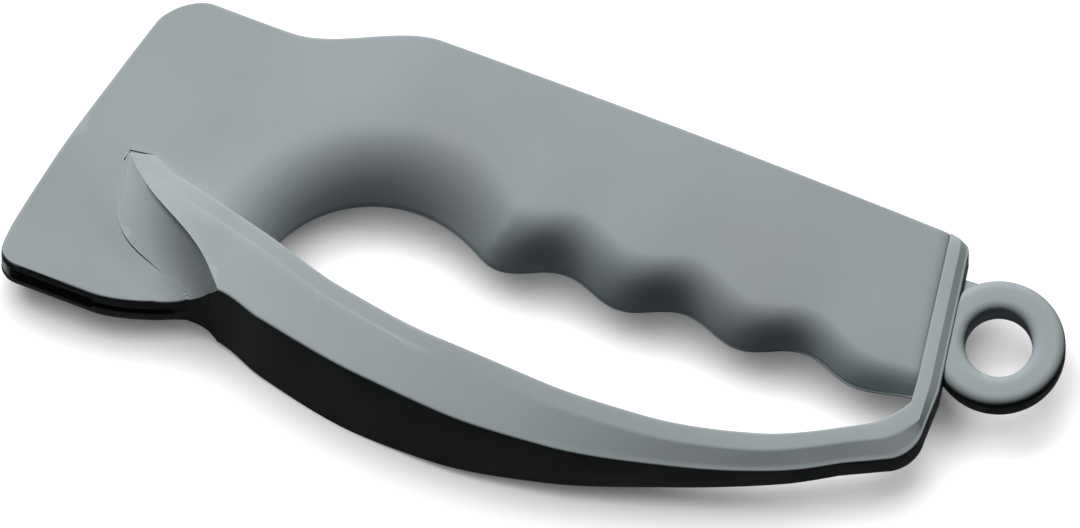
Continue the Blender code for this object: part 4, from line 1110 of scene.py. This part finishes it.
# The frame's 1080 pixels at 7.35 pixels for one millimetre
VIEW_WIDTH = 1.080 / 7.35
VIEW_DISTANCE = 0.6
VIEW_TURN = math.radians(21.4)
VIEW_RISE = math.radians(72.0)
FLOOR_SIZE = 6.0
FLOOR_GLOW = 0.12
WORLD_GLOW = 0.003


def stage_floor():
    """Pale floor: white to the eye, dim to the light that it throws back, with a soft shadow."""
    bpy.ops.mesh.primitive_grid_add(size=FLOOR_SIZE, x_subdivisions=2, y_subdivisions=2)
    floor = bpy.context.object
    floor.name = "studio_floor"
    made = bpy.data.materials.new("pale_card")
    made.use_nodes = True
    tree = made.node_tree
    tree.nodes.clear()
    path = add(tree, "ShaderNodeLightPath")
    seen = add(tree, "ShaderNodeMath", operation="MAXIMUM", links=(
        (0, path.outputs["Is Camera Ray"]), (1, path.outputs["Is Glossy Ray"])))
    seen = add(tree, "ShaderNodeMath", operation="MAXIMUM", links=(
        (0, seen.outputs[0]), (1, path.outputs["Is Transmission Ray"])))
    colour = add(tree, "ShaderNodeMix", data_type="RGBA", links=((0, seen.outputs[0]),),
                 values=((6, srgb("#0C0C0C")), (7, srgb("#FBF9FA"))))
    card = add(tree, "ShaderNodeBsdfDiffuse", links=(("Color", colour.outputs[2]),))
    strength = add(tree, "ShaderNodeMapRange", links=(("Value", seen.outputs[0]),),
                   values=span(0.0, FLOOR_GLOW, 0.0, 1.0))
    glow = add(tree, "ShaderNodeEmission", values=(("Color", srgb("#FFFFFF")),),
               links=(("Strength", strength.outputs["Result"]),))
    both = add(tree, "ShaderNodeAddShader", links=((0, card.outputs[0]), (1, glow.outputs[0])))
    add(tree, "ShaderNodeOutputMaterial", links=(("Surface", both.outputs[0]),))
    floor.data.materials.append(made)
    return floor


def area_light(name, direction, distance, size, energy, receivers):
    """Soft square lamp towards the object; it lights only the things in its group."""
    lamp = bpy.data.lights.new(name, "AREA")
    lamp.shape = "SQUARE"
    lamp.size = size
    lamp.energy = energy
    holder = bpy.data.objects.new(name, lamp)
    bpy.context.scene.collection.objects.link(holder)
    away = Vector(direction).normalized()
    holder.location = OFFSET + away * distance
    holder.rotation_euler = away.to_track_quat("Z", "Y").to_euler()
    holder.visible_camera = False
    holder.light_linking.receiver_collection = receivers


def lamp_group(name, things):
    group = bpy.data.collections.new(name)
    for thing in things:
        group.objects.link(thing)
    return group


def stage_world():
    world = bpy.data.worlds.new("studio")
    bpy.context.scene.world = world
    world.use_nodes = True
    back = world.node_tree.nodes["Background"]
    back.inputs["Color"].default_value = srgb("#FFFFFF")
    back.inputs["Strength"].default_value = WORLD_GLOW


def stage_camera():
    """Camera at the photograph's angle, looking straight at the middle of the handle's frame."""
    turn, rise = VIEW_TURN, VIEW_RISE
    right = Vector((math.cos(turn), math.sin(turn), 0.0))
    up = Vector((-math.sin(rise) * math.sin(turn), math.sin(rise) * math.cos(turn), math.cos(rise)))
    back = right.cross(up)
    lens = bpy.data.cameras.new("camera")
    lens.type = "ORTHO"
    lens.ortho_scale = VIEW_WIDTH
    camera = bpy.data.objects.new("camera", lens)
    bpy.context.scene.collection.objects.link(camera)
    turned = Matrix((right, up, back)).transposed().to_4x4()
    camera.matrix_world = Matrix.Translation(OFFSET + back * VIEW_DISTANCE) @ turned
    bpy.context.scene.camera = camera


floor = stage_floor()
stage_world()
pieces = [thing for thing in bpy.data.objects if thing.type == "MESH" and thing != floor]
on_object, on_floor = lamp_group("lit_object", pieces), lamp_group("lit_floor", [floor])
area_light("key", (-0.6, 0.8, 1.2), 3.0, 0.875, 119.0, on_object)
area_light("over", (-0.08, 0.08, 1.0), 1.0, 0.75, 17.0, on_floor)
stage_camera()
bpy.context.scene.view_settings.view_transform = "Standard"
